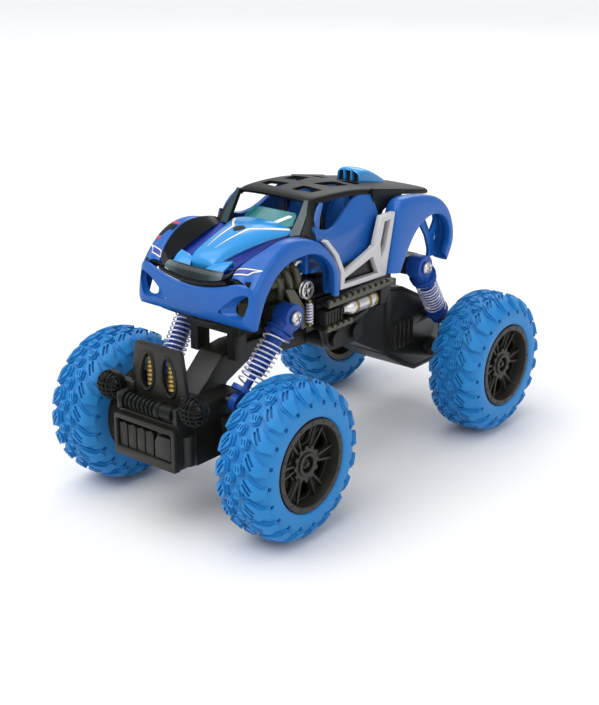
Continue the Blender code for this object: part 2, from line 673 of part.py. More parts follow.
def make_knuckle(name, side):
    """A steering knuckle: kingpins above and below, the stub axle, and the arm back to the rack."""
    x = side * KINGPIN_X
    half = KNUCKLE_HALF
    block_high = (x + half, -AXLE_Y + half + 1, KNUCKLE_HIGH_Z)
    block = box(name, (x - half, -AXLE_Y - half - 1, KNUCKLE_LOW_Z), block_high)
    pin_top = KNUCKLE_HIGH_Z + RUN + LUG_THICKNESS
    pin_foot = KNUCKLE_LOW_Z - RUN - LUG_THICKNESS
    kingpin = rod("kingpin", (x, -AXLE_Y, pin_foot), (x, -AXLE_Y, pin_top), KINGPIN_RADIUS, 16)
    stub_end = side * (TYRE_MID_X + AXLE_END)
    stub = rod("stub", (x, -AXLE_Y, AXLE_Z), (stub_end, -AXLE_Y, AXLE_Z), AXLE_RADIUS, 16)
    collar_end = side * (TYRE_MID_X - HUB_IN - RUN)
    collar = rod("collar", (x, -AXLE_Y, AXLE_Z), (collar_end, -AXLE_Y, AXLE_Z), COLLAR_RADIUS, 16)
    arm = box("arm", (x - 1.9, -AXLE_Y + 2, STEER_ARM_LOW_Z), (x + 1.9, RACK_Y + 2.0, STEER_ARM_HIGH_Z))
    made = join(block, kingpin, collar, stub, arm, rack_pin(x))
    return finish(made, BLACK, 0.45, origin=(x, -AXLE_Y, AXLE_Z))


# Rear swing unit

REAR_WALL = 1.5
COVER_THICKNESS = 1.6
TOOTH_TOP = 0.9          # of a tooth above and below the pitch circle, in modules
TOOTH_FOOT = 1.15


def gear_pitch_radius(teeth):
    return MODULE * teeth / 2


GEAR_CENTRES = gear_pitch_radius(WHEEL_TEETH) + gear_pitch_radius(PINION_TEETH)
GEAR_LINE = Vector((math.cos(GEAR_LINE_ANGLE), math.sin(GEAR_LINE_ANGLE)))
REAR_AXLE = Vector((AXLE_Y, AXLE_Z))
IDLER = REAR_AXLE + GEAR_LINE * GEAR_CENTRES
MOTOR = IDLER + GEAR_LINE * GEAR_CENTRES
IDLER_PIN_RADIUS = 1.2
COVER_INNER_X = UNIT_HALF_WIDTH - COVER_THICKNESS
PINION_HIGH_X = COVER_INNER_X - 0.9
PINION_LOW_X = PINION_HIGH_X - 2.5
GEAR_HIGH_X = PINION_LOW_X - 0.8
GEAR_LOW_X = GEAR_HIGH_X - 2.6
GEAR_HUB = 3.0
AXLE_TUBE_END = TYRE_MID_X - 14.5
AXLE_TUBE_RADIUS = 4.6

# The rear case in side view. It leaves RUN around the axle gear below and behind.
GEAR_ROOM = gear_pitch_radius(WHEEL_TEETH) + TOOTH_TOP * MODULE + RUN + REAR_WALL
CASE_FOOT = AXLE_Z - GEAR_ROOM
CASE_BACK = AXLE_Y + GEAR_ROOM + 0.6
REAR_OUTLINE = [
    (AXLE_Y - 35.4, AXLE_Z + 5.0), (AXLE_Y - 19.9, CASE_FOOT + 4.0), (AXLE_Y - 11.9, CASE_FOOT),
    (CASE_BACK - 5.0, CASE_FOOT), (CASE_BACK, CASE_FOOT + 6.0), (CASE_BACK, AXLE_Z + 14.0),
    (CASE_BACK - 5.0, AXLE_Z + 21.0), (AXLE_Y - 12.9, AXLE_Z + 30.0), (AXLE_Y - 22.9, AXLE_Z + 34.5),
    (AXLE_Y - 36.4, AXLE_Z + 37.0),
]


def gear_outline(centre, teeth, first_tooth):
    """A gear's outline with tapered teeth, one of them centred on the angle first_tooth."""
    pitch = 2 * math.pi / teeth
    radius = gear_pitch_radius(teeth)
    points = []
    for tooth in range(teeth):
        for share, height in (
            (-0.29, -TOOTH_FOOT), (-0.11, TOOTH_TOP), (0.11, TOOTH_TOP), (0.29, -TOOTH_FOOT),
        ):
            angle = first_tooth + (tooth + share) * pitch
            reach = radius + height * MODULE
            points.append((centre[0] + reach * math.cos(angle), centre[1] + reach * math.sin(angle)))
    return points


def axle_tube(side):
    """The tube that the rear axle runs in, from the case to just inside one tyre."""
    start = (side * (UNIT_HALF_WIDTH - 1), *REAR_AXLE)
    return rod("tube", start, (side * AXLE_TUBE_END, *REAR_AXLE), AXLE_TUBE_RADIUS, 16)


def axle_bore(side):
    end = (side * (AXLE_TUBE_END + 9), *REAR_AXLE)
    return rod("axle_bore", (0, *REAR_AXLE), end, AXLE_RADIUS + RUN, 16)


def make_rear_gearbox():
    """The rear case for the motor and gears, with its swing arm, right axle tube and right shock pin."""
    half = UNIT_HALF_WIDTH
    case = plate("rear_gearbox", "YZ", [REAR_OUTLINE], -half, half)
    arm_outline = [
        (PIVOT_Y, PIVOT_Z - ARM_HALF_HEIGHT), (AXLE_Y - 31.9, AXLE_Z + 4.0), (AXLE_Y - 29.9, AXLE_Z + 28.0),
        (AXLE_Y - 35.9, AXLE_Z + 29.5), (PIVOT_Y, PIVOT_Z + ARM_HALF_HEIGHT),
    ]
    arm = plate("arm", "YZ", [arm_outline], 0.6 - half, half - 0.6)
    cap = box("cap", (-7, AXLE_Y - 26.4, AXLE_Z + 32.0), (9, AXLE_Y - 19.4, AXLE_Z + 36.4))
    made = join(case, arm, unit_barrel(REAR), cap, axle_tube(-1), shock_pin(-1, REAR))
    room = plate("room", "YZ", [inset(REAR_OUTLINE, REAR_WALL)], CASE_WALL - half, half + 1)
    made = cut(made, room, axle_bore(-1), unit_bore(REAR))
    return finish(made, BLACK, 0.45, origin=(0, PIVOT_Y, PIVOT_Z))


def make_rear_gearbox_cover():
    """The left side plate of the rear case, with left axle tube, idler's pin, ribs and a shock pin."""
    half = UNIT_HALF_WIDTH
    outline = inset(REAR_OUTLINE, REAR_WALL + GAP)
    cover = plate("rear_gearbox_cover", "YZ", [outline], COVER_INNER_X, half)
    idler_pin = rod("idler_pin", (half - 1, *IDLER), (GEAR_LOW_X - 1, *IDLER), IDLER_PIN_RADIUS, 12)
    ribs = []
    for index in range(5):
        y = AXLE_Y - 29.9 + 3.4 * index
        ribs.append(box(f"rib_{index}", (half - 0.5, y, AXLE_Z + 6.0), (half + 1.2, y + 1.6, AXLE_Z + 18.0)))
    made = join(cover, axle_tube(1), idler_pin, shock_pin(1, REAR), *ribs)
    return finish(cut(made, axle_bore(1)), BLACK, 0.45, origin=(0, PIVOT_Y, PIVOT_Z))


def make_drive_motor():
    """The drive motor: a can, its end bell and a thin shaft."""
    rear = CASE_WALL - UNIT_HALF_WIDTH + RUN
    front = GEAR_LOW_X - 0.6
    can = rod("drive_motor", (rear + 1.4, *MOTOR), (front - 1.6, *MOTOR), MOTOR_RADIUS, 24)
    bell = rod("bell", (rear, *MOTOR), (rear + 2, *MOTOR), MOTOR_RADIUS - 2.0, 20)
    boss = rod("boss", (front - 2.0, *MOTOR), (front, *MOTOR), 3.0, 16)
    shaft = rod("shaft", (front - 0.5, *MOTOR), (COVER_INNER_X - RUN, *MOTOR), MOTOR_SHAFT_RADIUS, 12)
    return finish(join(can, bell, boss, shaft), STEEL, 0.35, 1.0, origin=(0, *MOTOR))


def gear_bore(centre, radius):
    return rod("bore", (0, *centre), (UNIT_HALF_WIDTH + 1, *centre), radius, 16)


def make_gears():
    """The axle gear, the compound idler and the motor's pinion, in mesh at rest."""
    back = GEAR_LINE_ANGLE + math.pi
    half_wheel = math.pi / WHEEL_TEETH
    axle_outline = gear_outline(REAR_AXLE, WHEEL_TEETH, GEAR_LINE_ANGLE)
    axle_gear = plate("axle_gear", "YZ", [axle_outline], GEAR_LOW_X, GEAR_HIGH_X)
    hub = rod("hub", (GEAR_LOW_X - GEAR_HUB, *REAR_AXLE), (GEAR_HIGH_X, *REAR_AXLE), COLLAR_RADIUS + 0.2, 16)
    made = cut(join(axle_gear, hub), gear_bore(REAR_AXLE, AXLE_RADIUS + GAP))
    finish(made, CREAM, 0.5, origin=(0, *REAR_AXLE), smooth=False)
    small_outline = gear_outline(IDLER, PINION_TEETH, back + math.pi / PINION_TEETH)
    small = plate("idler_gear", "YZ", [small_outline], GEAR_LOW_X - 0.4, PINION_LOW_X)
    large_outline = gear_outline(IDLER, WHEEL_TEETH, GEAR_LINE_ANGLE + half_wheel)
    large = plate("large", "YZ", [large_outline], PINION_LOW_X - GAP, PINION_HIGH_X - GAP)
    made = cut(join(small, large), gear_bore(IDLER, IDLER_PIN_RADIUS + GAP))
    finish(made, CREAM, 0.5, origin=(0, *IDLER), smooth=False)
    pinion_outline = gear_outline(MOTOR, PINION_TEETH, back)
    pinion = plate("motor_pinion", "YZ", [pinion_outline], PINION_LOW_X - GAP, PINION_HIGH_X)
    made = cut(pinion, gear_bore(MOTOR, MOTOR_SHAFT_RADIUS + GAP / 2))
    finish(made, CREAM, 0.5, origin=(0, *MOTOR), smooth=False)


def make_rear_axle():
    """The steel shaft through both rear wheels, with collars just outside the axle tubes."""
    reach = TYRE_MID_X + AXLE_END
    shaft = rod("rear_axle", (-reach, *REAR_AXLE), (reach, *REAR_AXLE), AXLE_RADIUS, 16)
    collars = []
    for side in (-1, 1):
        inner = (side * (AXLE_TUBE_END + RUN), *REAR_AXLE)
        outer = (side * (TYRE_MID_X - HUB_IN - RUN), *REAR_AXLE)
        collars.append(rod(f"collar_{side}", inner, outer, COLLAR_RADIUS, 16))
    return finish(join(shaft, *collars), STEEL, 0.3, 1.0, origin=(0, *REAR_AXLE))


# Chassis

TUB_HALF = 22.0
TUB_FRONT = -30.0
TUB_REAR = 28.0
TUB_LOW = 66.5
TUB_HIGH = 79.0
TUB_WALL = 1.6
DECK_HALF = 14.0
FRONT_DECK = (71.5, 76.0)    # lowest and highest
REAR_DECK = (75.0, 79.0)
FRONT_DECK_END = -62.0
REAR_DECK_END = 52.0
TOWER_X = SHOCK_TOP[0] - EAR_THICKNESS / 2 - GAP
TOWER_THICKNESS = 5.2
CHEEK_LOW_X = UNIT_HALF_WIDTH + RUN
CHEEK_HIGH_X = CHEEK_LOW_X + 3.0
PIN_HEAD_RADIUS = 3.4
SWITCH = (13.5, -21.0)
SWITCH_SIZE = (2.4, 4.0)
SWITCH_TRAVEL = 4.0


def cheek_outline():
    """The plate that hangs below the tub and carries both pivot pins, in side view."""
    outline = arc((-PIVOT_Y, PIVOT_Z), PIVOT_EYE_RADIUS, 180, 270, 5)
    outline += arc((PIVOT_Y, PIVOT_Z), PIVOT_EYE_RADIUS, 270, 360, 5)
    return outline + [(PIVOT_Y + 9, TUB_LOW + 1), (-PIVOT_Y - 9, TUB_LOW + 1)]


def shock_tower(side, end, deck_low):
    """The post that one shock's screw goes into, and the foot that joins it to its deck."""
    middle = end * SHOCK_TOP[1]
    half = 4.4
    inner, outer = sorted((side * (DECK_HALF - 2), side * TOWER_X))
    foot_low = (inner, middle - half + 0.4, deck_low + 0.2)
    foot = box("foot", foot_low, (outer, middle + half - 0.4, deck_low + 3.8))
    inner, outer = sorted((side * (TOWER_X - TOWER_THICKNESS), side * (TOWER_X - 0.1)))
    tower = box("tower", (inner, middle - half, deck_low - 0.4), (outer, middle + half, SHOCK_TOP[2] + 4.5))
    return foot, tower


def screw_hole(side, end):
    start = (side * (SHOCK_TOP[0] - SCREW_REACH - RUN), end * SHOCK_TOP[1], SHOCK_TOP[2])
    finish_at = (side * (SHOCK_TOP[0] + 5), end * SHOCK_TOP[1], SHOCK_TOP[2])
    return rod("screw_hole", start, finish_at, SCREW_RADIUS + GAP, 12)


def make_chassis_frame():
    """The chassis: a battery tub, pivot cheeks below it, two decks, shock towers and the front legs."""
    tub = box("chassis_frame", (-TUB_HALF, TUB_FRONT, TUB_LOW), (TUB_HALF, TUB_REAR, TUB_HIGH))
    front_low = (-DECK_HALF, FRONT_DECK_END, FRONT_DECK[0])
    rear_low = (-DECK_HALF, TUB_REAR - 1, REAR_DECK[0])
    pieces = [
        box("front_deck", front_low, (DECK_HALF, TUB_FRONT + 1, FRONT_DECK[1])),
        box("rear_deck", rear_low, (DECK_HALF, REAR_DECK_END, REAR_DECK[1])),
    ]
    eyes = [arc((end * PIVOT_Y, PIVOT_Z), PIVOT_PIN_RADIUS + GAP, 0, 330, 11) for end in (FRONT, REAR)]
    for side in (-1, 1):
        low, high = sorted((side * CHEEK_LOW_X, side * CHEEK_HIGH_X))
        pieces.append(plate(f"cheek_{side}", "YZ", [cheek_outline(), *eyes], low, high))
        low, high = sorted((side * (DECK_HALF - 6), side * (DECK_HALF - 2)))
        leg_low = (low, FRONT_DECK_END, FRONT_DECK[0] - 10.5)
        pieces.append(box(f"leg_{side}", leg_low, (high, FRONT_DECK_END + 7, FRONT_DECK[0] + 1)))
        pieces += shock_tower(side, FRONT, FRONT_DECK[0])
        pieces += shock_tower(side, REAR, REAR_DECK[0])
    frame = join(tub, *pieces)
    wall = TUB_WALL
    half_x = SWITCH_SIZE[0] / 2 + GAP
    half_y = SWITCH_SIZE[1] / 2 + GAP
    slot_low = (SWITCH[0] - half_x, SWITCH[1] - half_y, TUB_LOW - 1)
    slot_high = (SWITCH[0] + half_x, SWITCH[1] + half_y + SWITCH_TRAVEL, TUB_LOW + wall + 1)
    holes = [
        box(
            "room",
            (-TUB_HALF + wall, TUB_FRONT + wall, TUB_LOW + wall),
            (TUB_HALF - wall, TUB_REAR - wall, TUB_HIGH + 1),
        ),
        box("switch_slot", slot_low, slot_high),
    ]
    holes += [screw_hole(side, end) for side in (-1, 1) for end in (FRONT, REAR)]
    return finish(cut(frame, *holes), BLACK, 0.45)


def make_pivot_pin(name, end):
    """A steel pin with a head, which a swing unit turns on."""
    reach = CHEEK_HIGH_X + 1.2
    y = end * PIVOT_Y
    pin = rod(name, (-reach, y, PIVOT_Z), (reach, y, PIVOT_Z), PIVOT_PIN_RADIUS, 16)
    head_low, head_high = (CHEEK_HIGH_X + GAP, y, PIVOT_Z), (CHEEK_HIGH_X + 2.0, y, PIVOT_Z)
    head = rod("head", head_low, head_high, PIN_HEAD_RADIUS, 16)
    return finish(join(pin, head), STEEL, 0.3, 1.0, origin=(0, y, PIVOT_Z))


def make_electrics():
    """The battery pack, the control board, the cover over them and the power switch under the tub."""
    floor = TUB_LOW + TUB_WALL + GAP
    inside = TUB_HALF - TUB_WALL
    front = TUB_FRONT + 5.0
    back = TUB_REAR - 4.0
    battery = box("battery_pack", (1.4 - inside, front, floor), (inside - 12.4, back, TUB_HIGH - 1.5))
    finish(battery, GREEN, 0.4, smooth=False)
    board_x = inside - 0.8
    board = box("control_board", (board_x - 1.4, front - 1, floor), (board_x, back, TUB_HIGH - 1.2))
    chips = [
        box("chip_0", (board_x - 3.4, -8.0, floor + 1.6), (board_x - 1.0, 2.0, TUB_HIGH - 3.0)),
        box("chip_1", (board_x - 4.4, 10.0, floor + 1.6), (board_x - 1.0, 16.0, TUB_HIGH - 3.0)),
    ]
    finish(join(board, *chips), GREEN, 0.4, smooth=False)
    lid = TUB_HIGH + GAP
    edge = 0.5
    lid_low = (edge - TUB_HALF, TUB_FRONT + edge, lid)
    cover = box("battery_cover", lid_low, (TUB_HALF - edge, TUB_REAR - edge, lid + 1.5))
    grip = box("grip", (-6, -4, lid + 1.2), (6, 4, lid + 2.7))
    finish(join(cover, grip), BLACK, 0.5, smooth=False)
    x, y = SWITCH
    half_x = SWITCH_SIZE[0] / 2
    half_y = SWITCH_SIZE[1] / 2
    knob = box("power_switch", (x - half_x, y - half_y, TUB_LOW - 1.8), (x + half_x, y + half_y, floor + 0.8))
    base_x = half_x + 1.2
    base_y = half_y + 2.2
    base = box("base", (x - base_x, y - base_y, floor), (x + base_x, y + base_y, floor + 1.4))
    finish(join(knob, base), BLACK, 0.4, origin=(x, y, TUB_LOW), smooth=False)


def make_engine_block():
    """The mock engine in front of the cabin: a stepped block with header pipes and a pulley on each side."""
    low = FRONT_DECK[1] + GAP
    block = box("engine_block", (-12.5, FRONT_DECK_END + 2, low), (12.5, TUB_FRONT - 5, low + 10.7))
    pieces = [box("top", (-9.0, FRONT_DECK_END + 12, low + 9.7), (9.0, TUB_FRONT - 3.5, low + 17.7))]
    pulley_y = TUB_FRONT - 8.5
    for side in (-1, 1):
        for index in range(3):
            start = (side * 8, FRONT_DECK_END + 5.0 + 5.5 * index, low + 7.7)
            end = (side * 19.0, start[1] - 1.0, low + 12.7 + index)
            pieces.append(rod(f"pipe_{side}_{index}", start, end, 2.4, 12))
        start = (side * 12.0, pulley_y, low + 11.7)
        pieces.append(rod(f"pulley_{side}", start, (side * 19.0, *start[1:]), 4.2, 16))
    return finish(join(block, *pieces), BLACK, 0.4)


def make_running_board(name, side):
    """A stepped side board below the cabin."""
    low, high = sorted((side * (TUB_HALF + GAP), side * (BODY_HALF_WIDTH - 1)))
    top = TUB_HIGH + 1.0
    outline = [
        (-25.5, TUB_LOW + 0.5), (-12.0, TUB_LOW + 0.5), (-9.0, TUB_LOW + 3.0), (2.0, TUB_LOW + 6.0),
        (19.0, top - 4.0), (20.0, top), (-24.0, top),
    ]
    board = plate(name, "YZ", [outline], low, high)
    steps = []
    for index in range(6):
        start = -20.0 + 6.6 * index
        inner, outer = sorted((side * (BODY_HALF_WIDTH - 3.5), side * BODY_HALF_WIDTH))
        steps.append(box(f"notch_{index}", (inner, start, top - 2.5), (outer, start + 2.4, top + 1)))
    return finish(cut(board, *steps), BLACK, 0.5, smooth=False)


# Body

FRONT_FENDER = [
    (-18.6, 81.3), (-17.5, 89.6), (-21.7, 97.2), (-28.1, 104.1), (-36.5, 108.7), (-47.3, 110.6),
    (-56.7, 108.4), (-66.0, 101.5), (-71.3, 93.8), (-72.6, 80.0), (-68.9, 80.5), (-63.1, 93.1),
    (-56.8, 99.4), (-48.4, 102.4), (-37.5, 102.9), (-27.5, 98.5), (-22.8, 91.6), (-22.7, 82.2),
]
REAR_FENDER = [
    (15.2, 82.5), (23.0, 81.1), (30.3, 92.9), (40.6, 101.0), (47.4, 102.5), (57.0, 97.7), (60.0, 90.0),
    (57.0, 84.5), (58.8, 78.3), (65.2, 85.5), (63.3, 95.8), (57.6, 106.1), (45.5, 111.1), (21.5, 113.9),
]
BUMPER_FRONT_Y = -73.4
HOOD_HALF_WIDTH = 11.0
HOOD_TOP = [(-67.5, 97.5), (-60.0, 103.5), (-50.0, 107.5), (-40.0, 109.5), (-30.3, 110.0)]
DECK_TOP = [(-69.0, 93.5), (-58.0, 98.5), (-45.0, 102.5), (-31.0, 104.5)]


def lowered(points, drop):
    return [(y, z - drop) for y, z in points]


def make_body_shell():
    """The front body: two arched fenders, the bumper with its side intakes, the low deck and the hood."""
    deck_half = FENDER_INNER_X + 1
    deck = plate("body_shell", "YZ", [DECK_TOP + lowered(DECK_TOP, PANEL)[::-1]], -deck_half, deck_half)
    hood_outline = HOOD_TOP + [(HOOD_TOP[-1][0], 103.6), *lowered(DECK_TOP[:-1], 0.8)[::-1]]
    hood = plate("hood", "YZ", [hood_outline], -HOOD_HALF_WIDTH, HOOD_HALF_WIDTH)
    fenders = []
    for side in (-1, 1):
        low, high = sorted((side * FENDER_INNER_X, side * BODY_HALF_WIDTH))
        fenders.append(plate(f"fender_{side}", "YZ", [FRONT_FENDER], low, high))
    edge = BODY_HALF_WIDTH
    half_bumper = [
        (78.7, 0.0), (78.7, edge - 11.0), (79.6, edge - 4.0), (82.0, edge - 0.6), (90.0, edge - 0.2),
        (95.5, edge - 1.4), (92.6, FENDER_INNER_X - 0.1), (91.4, 0.0),
    ]
    bumper = [*half_bumper[:-1], *[(z, -x) for z, x in reversed(half_bumper[1:-1])]]
    intake = [(84.2, edge - 10.2), (82.6, edge - 4.0), (92.6, edge - 2.6), (93.0, edge - 4.6)]
    intakes = [intake, [(z, -x) for z, x in reversed(intake)]]
    front = plate("bumper", "ZX", [bumper, *intakes], BUMPER_FRONT_Y, BUMPER_FRONT_Y + 5)
    trimmed = []
    for side in (-1, 1):
        corner = box(f"corner_{side}", (-8, -8, -40), (8, 8, 40))
        place = Vector((side * (edge + 5.2), BUMPER_FRONT_Y - 5.2, 88)) * MM
        corner.matrix_world = Matrix.Translation(place) @ Matrix.Rotation(math.radians(45), 4, "Z")
        trimmed.append(corner)
        wide = HOOD_HALF_WIDTH + 1
        outline = [(side * (HOOD_HALF_WIDTH - 5.5), -75), (side * wide, -75), (side * wide, -40)][::side]
        trimmed.append(plate(f"taper_{side}", "XY", [outline], 99.0, 120.0))
    return finish(cut(join(deck, hood, *fenders, front), *trimmed), BLUE, 0.3)


def make_grille_band():
    """The black bow around the hood: a bar across the nose that runs back along both fenders."""
    front = BUMPER_FRONT_Y + 1.6
    strip_top = [(front, 97.2), (-60.0, 102.6), (-45.0, 106.6), (-34.0, 108.3)]
    strip_low = [(-34.0, 105.0), (-45.0, 103.4), (-58.0, 99.5), (-68.6, 94.7), (front, 93.2)]
    edge = FENDER_INNER_X - 0.4
    bar = box("grille_band", (-edge, front, 93.2), (edge, front + 2.4, 97.0))
    strips = []
    for side in (-1, 1):
        low, high = sorted((side * (edge - 3), side * edge))
        strips.append(plate(f"strip_{side}", "YZ", [strip_top + strip_low], low, high))
    return finish(join(bar, *strips), BLACK, 0.3, smooth=False)


def make_rear_fenders():
    """The rear body: two arched fenders with inner struts, joined by a cross panel."""
    inner = ROOF_SIDE_X + GAP + 0.1
    cross_outline = [(43.0, 103.2), (57.0, 100.2), (57.6, 102.6), (43.6, 105.6)]
    cross = plate("rear_fenders", "YZ", [cross_outline], -inner - 1, inner + 1)
    pieces = []
    for side in (-1, 1):
        low, high = sorted((side * inner, side * BODY_HALF_WIDTH))
        pieces.append(plate(f"fender_{side}", "YZ", [REAR_FENDER], low, high))
        low, high = sorted((side * (inner + 0.2), side * (inner + 2.6)))
        strut = [(39.0, 100.0), (43.0, 102.0), (60.0, 84.5), (58.0, 82.0)]
        pieces.append(plate(f"strut_{side}", "YZ", [strut], low, high))
    return finish(join(cross, *pieces), BLUE, 0.3)


ROOF_SIDE_X = 22.0
SCOOP_HALF = 6.5


def beam(name, foot, foot_size, top, top_size):
    """A tapered square pillar between two level rectangles."""
    obj = box(name, (-0.5, -0.5, 0.0), (0.5, 0.5, 1.0))
    for vert in obj.data.vertices:
        centre, size = (top, top_size) if vert.co.z > 0.5 * MM else (foot, foot_size)
        x = centre[0] + math.copysign(size[0] / 2, vert.co.x)
        y = centre[1] + math.copysign(size[1] / 2, vert.co.y)
        vert.co = (x * MM, y * MM, centre[2] * MM)
    return obj


def make_roof_cage():
    """The black roof: a slotted panel that slopes down behind, windscreen pillars and two quarter panels."""
    roof_top = [(-25.0, 119.0), (-23.5, 120.5), (6.4, 119.9), (16.3, 117.6), (57.0, 110.6)]
    roof_low = [(57.4, 108.6), (16.0, 115.4), (6.0, 117.8), (-23.0, 118.3)]
    roof = plate("roof_cage", "YZ", [(roof_top + roof_low)[::-1]], 2 - ROOF_SIDE_X, ROOF_SIDE_X - 2)
    pieces = []
    for side in (-1, 1):
        foot = (side * 21.6, -31.6, 107.0)
        top = (side * 17.6, -22.6, 119.4)
        pieces.append(beam(f"pillar_{side}", foot, (9.4, 3.4), top, (4.8, 3.6)))
        inner, outer = sorted((side * (ROOF_SIDE_X - 3.4), side * ROOF_SIDE_X))
        quarter = [
            (14.2, 99.0), (19.5, 99.0), (24.0, 107.0), (40.0, 108.0), (40.0, 112.8), (16.3, 116.6),
            (14.2, 117.0),
        ]
        pieces.append(plate(f"quarter_{side}", "YZ", [quarter], inner, outer))
    made = join(roof, *pieces)
    openings = [
        box("front_left", (3.0, -17.0, 110), (14.5, -9.0, 125)),
        box("front_right", (-14.5, -17.0, 110), (-3.0, -9.0, 125)),
        box("middle_left", (3.0, -3.0, 110), (14.5, 8.0, 125)),
        box("middle_right", (-14.5, -3.0, 110), (-3.0, 8.0, 125)),
        box("scoop_well", (-SCOOP_HALF - RUN, 23.5, 105), (SCOOP_HALF + RUN, 52.0, 125)),
    ]
    return finish(cut(made, *openings), BLACK, 0.4, smooth=False)


def make_scoop():
    """The blue air scoop behind the roof, open at the front between two small posts."""
    outline = [
        (24.2, 110.6), (52.0, 105.6), (51.4, 111.0), (44.0, 115.6), (34.0, 120.7), (26.0, 122.2),
        (24.2, 121.6),
    ]
    scoop = plate("scoop", "YZ", [outline], -SCOOP_HALF, SCOOP_HALF)
    vents = []
    for index in range(3):
        x = 1.0 - SCOOP_HALF + 3.9 * index
        vents.append(box(f"vent_{index}", (x, 23.0, 114.0), (x + 3.2, 31.0, 120.0)))
    return finish(cut(scoop, *vents), BLUE, 0.3, smooth=False)


CABIN_HALF = 23.9
CABIN_WALL = 3.0


def make_windscreen():
    """The small tinted windscreen, leaning back between the pillars."""
    outline = [(-29.4, 108.6), (-28.4, 108.2), (-24.6, 113.6), (-25.6, 114.2)]
    return finish(plate("windscreen", "YZ", [outline], -12.5, 12.5), TEAL, 0.1, smooth=False)


def make_cabin_tub():
    """The open cabin: a floor, two swept side walls, the seat back and the dash."""
    inside = CABIN_HALF - CABIN_WALL + 0.6
    low = 83.2
    floor = box("cabin_tub", (-inside, -16.0, low), (inside, 13.2, low + 2))
    side_outline = [
        (-16.4, low), (13.2, low), (13.2, 108.5), (8.5, 116.4), (4.0, 116.4), (0.0, 111.5), (-6.5, 105.6),
        (-17.0, 102.6), (-26.4, 105.0), (-20.6, 98.2), (-16.4, 90.2),
    ]
    pieces = [
        box("seat_back", (-inside, 8.0, low + 1.3), (inside, 13.2, 106.0)),
        box("dash", (-inside, -20.0, 98.2), (inside, -15.0, 102.0)),
    ]
    for side in (-1, 1):
        inner, outer = sorted((side * (CABIN_HALF - CABIN_WALL), side * CABIN_HALF))
        pieces.append(plate(f"side_{side}", "YZ", [side_outline], inner, outer))
    return finish(join(floor, *pieces), BLUE, 0.3)


def make_side_trim(name, side):
    """A silver side frame with a long low window and an upright one."""
    outline = [
        (-17.2, 82.9), (14.1, 82.0), (19.9, 108.3), (10.4, 108.1), (6.0, 96.0), (-14.0, 89.5), (-18.5, 98.3),
        (-25.3, 105.4), (-27.2, 104.9), (-21.0, 98.0), (-16.7, 89.9),
    ]
    low_window = [(-14.6, 84.8), (8.6, 84.2), (4.6, 92.2), (-14.0, 87.0)]
    high_window = [(10.6, 90.6), (13.6, 95.0), (16.6, 105.6), (12.6, 105.4), (9.8, 96.0)]
    low, high = sorted((side * (BODY_HALF_WIDTH - 4.4), side * (BODY_HALF_WIDTH - 1.6)))
    trim = plate(name, "YZ", [outline, low_window, high_window], low, high)
    return finish(trim, SILVER, 0.35, 0.8, smooth=False)


def stand_on_tyres():
    """Raises or lowers every piece so that the tyres rest on the ground."""
    for obj in TRUCK.objects:
        obj.location.z += (TYRE_RADIUS - AXLE_Z) * MM


def build():
    corners = (("front", FRONT), ("rear", REAR))
    sides = (("left", 1), ("right", -1))
    for end_name, end in corners:
        for side_name, side in sides:
            where = f"{end_name}_{side_name}"
            make_tyre(f"tyre_{where}", side, end * AXLE_Y)
            make_rim(f"rim_{where}", side, end * AXLE_Y)
            make_shock_cap(f"shock_cap_{where}", side, end)
            make_shock_rod(f"shock_rod_{where}", side, end)
            make_spring(f"spring_{where}", side, end)
            make_shock_screw(f"shock_screw_{where}", side, end)
        make_pivot_pin(f"pivot_pin_{end_name}", end)
    for side_name, side in sides:
        make_knuckle(f"knuckle_{side_name}", side)
        make_lamp(f"lamp_{side_name}", side)
        make_running_board(f"running_board_{side_name}", side)
        make_side_trim(f"side_trim_{side_name}", side)
    make_front_axle_housing()
    make_front_box()
    make_winch_drum()
    make_steering_servo()
    make_servo_arm()
    make_steering_rack()
    make_rear_gearbox()
    make_rear_gearbox_cover()
    make_drive_motor()
    make_gears()
    make_rear_axle()
    make_chassis_frame()
    make_electrics()
    make_engine_block()
    make_body_shell()
    make_grille_band()
    make_rear_fenders()
    make_roof_cage()
    make_scoop()
    make_windscreen()
    make_cabin_tub()
    stand_on_tyres()


build()
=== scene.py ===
"""The looks of a 1:20 off-road toy truck: lugged blue tyres, black rims, sprung shocks and a blue buggy body.

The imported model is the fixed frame. Each operator models one piece or one group of like pieces around it, and
the panel in the 3D view's sidebar lists them. Places and sizes are in millimetres; mm() turns them to metres.
"""

import json
import math

import bmesh
import bpy
from bpy.props import FloatProperty, FloatVectorProperty, IntProperty, PointerProperty
from mathutils import Matrix, Vector
from mathutils.bvhtree import BVHTree


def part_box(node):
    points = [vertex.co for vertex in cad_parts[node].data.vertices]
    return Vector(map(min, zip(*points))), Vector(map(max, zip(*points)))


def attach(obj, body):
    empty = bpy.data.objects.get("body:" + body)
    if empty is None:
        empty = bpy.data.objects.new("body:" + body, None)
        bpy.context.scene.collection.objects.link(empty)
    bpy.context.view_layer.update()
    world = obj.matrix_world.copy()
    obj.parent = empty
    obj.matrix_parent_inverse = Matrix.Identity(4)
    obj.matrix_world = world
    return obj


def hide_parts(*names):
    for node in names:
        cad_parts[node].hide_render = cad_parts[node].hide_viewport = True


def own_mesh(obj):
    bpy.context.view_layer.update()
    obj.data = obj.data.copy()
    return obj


bl_info = {
    "name": "Off-road toy truck",
    "version": (1, 0, 0),
    "blender": (4, 5, 0),
    "location": "3D View > Sidebar > Truck",
    "description": "Detailed pieces and finishes for a toy truck",
    "category": "Object",
}

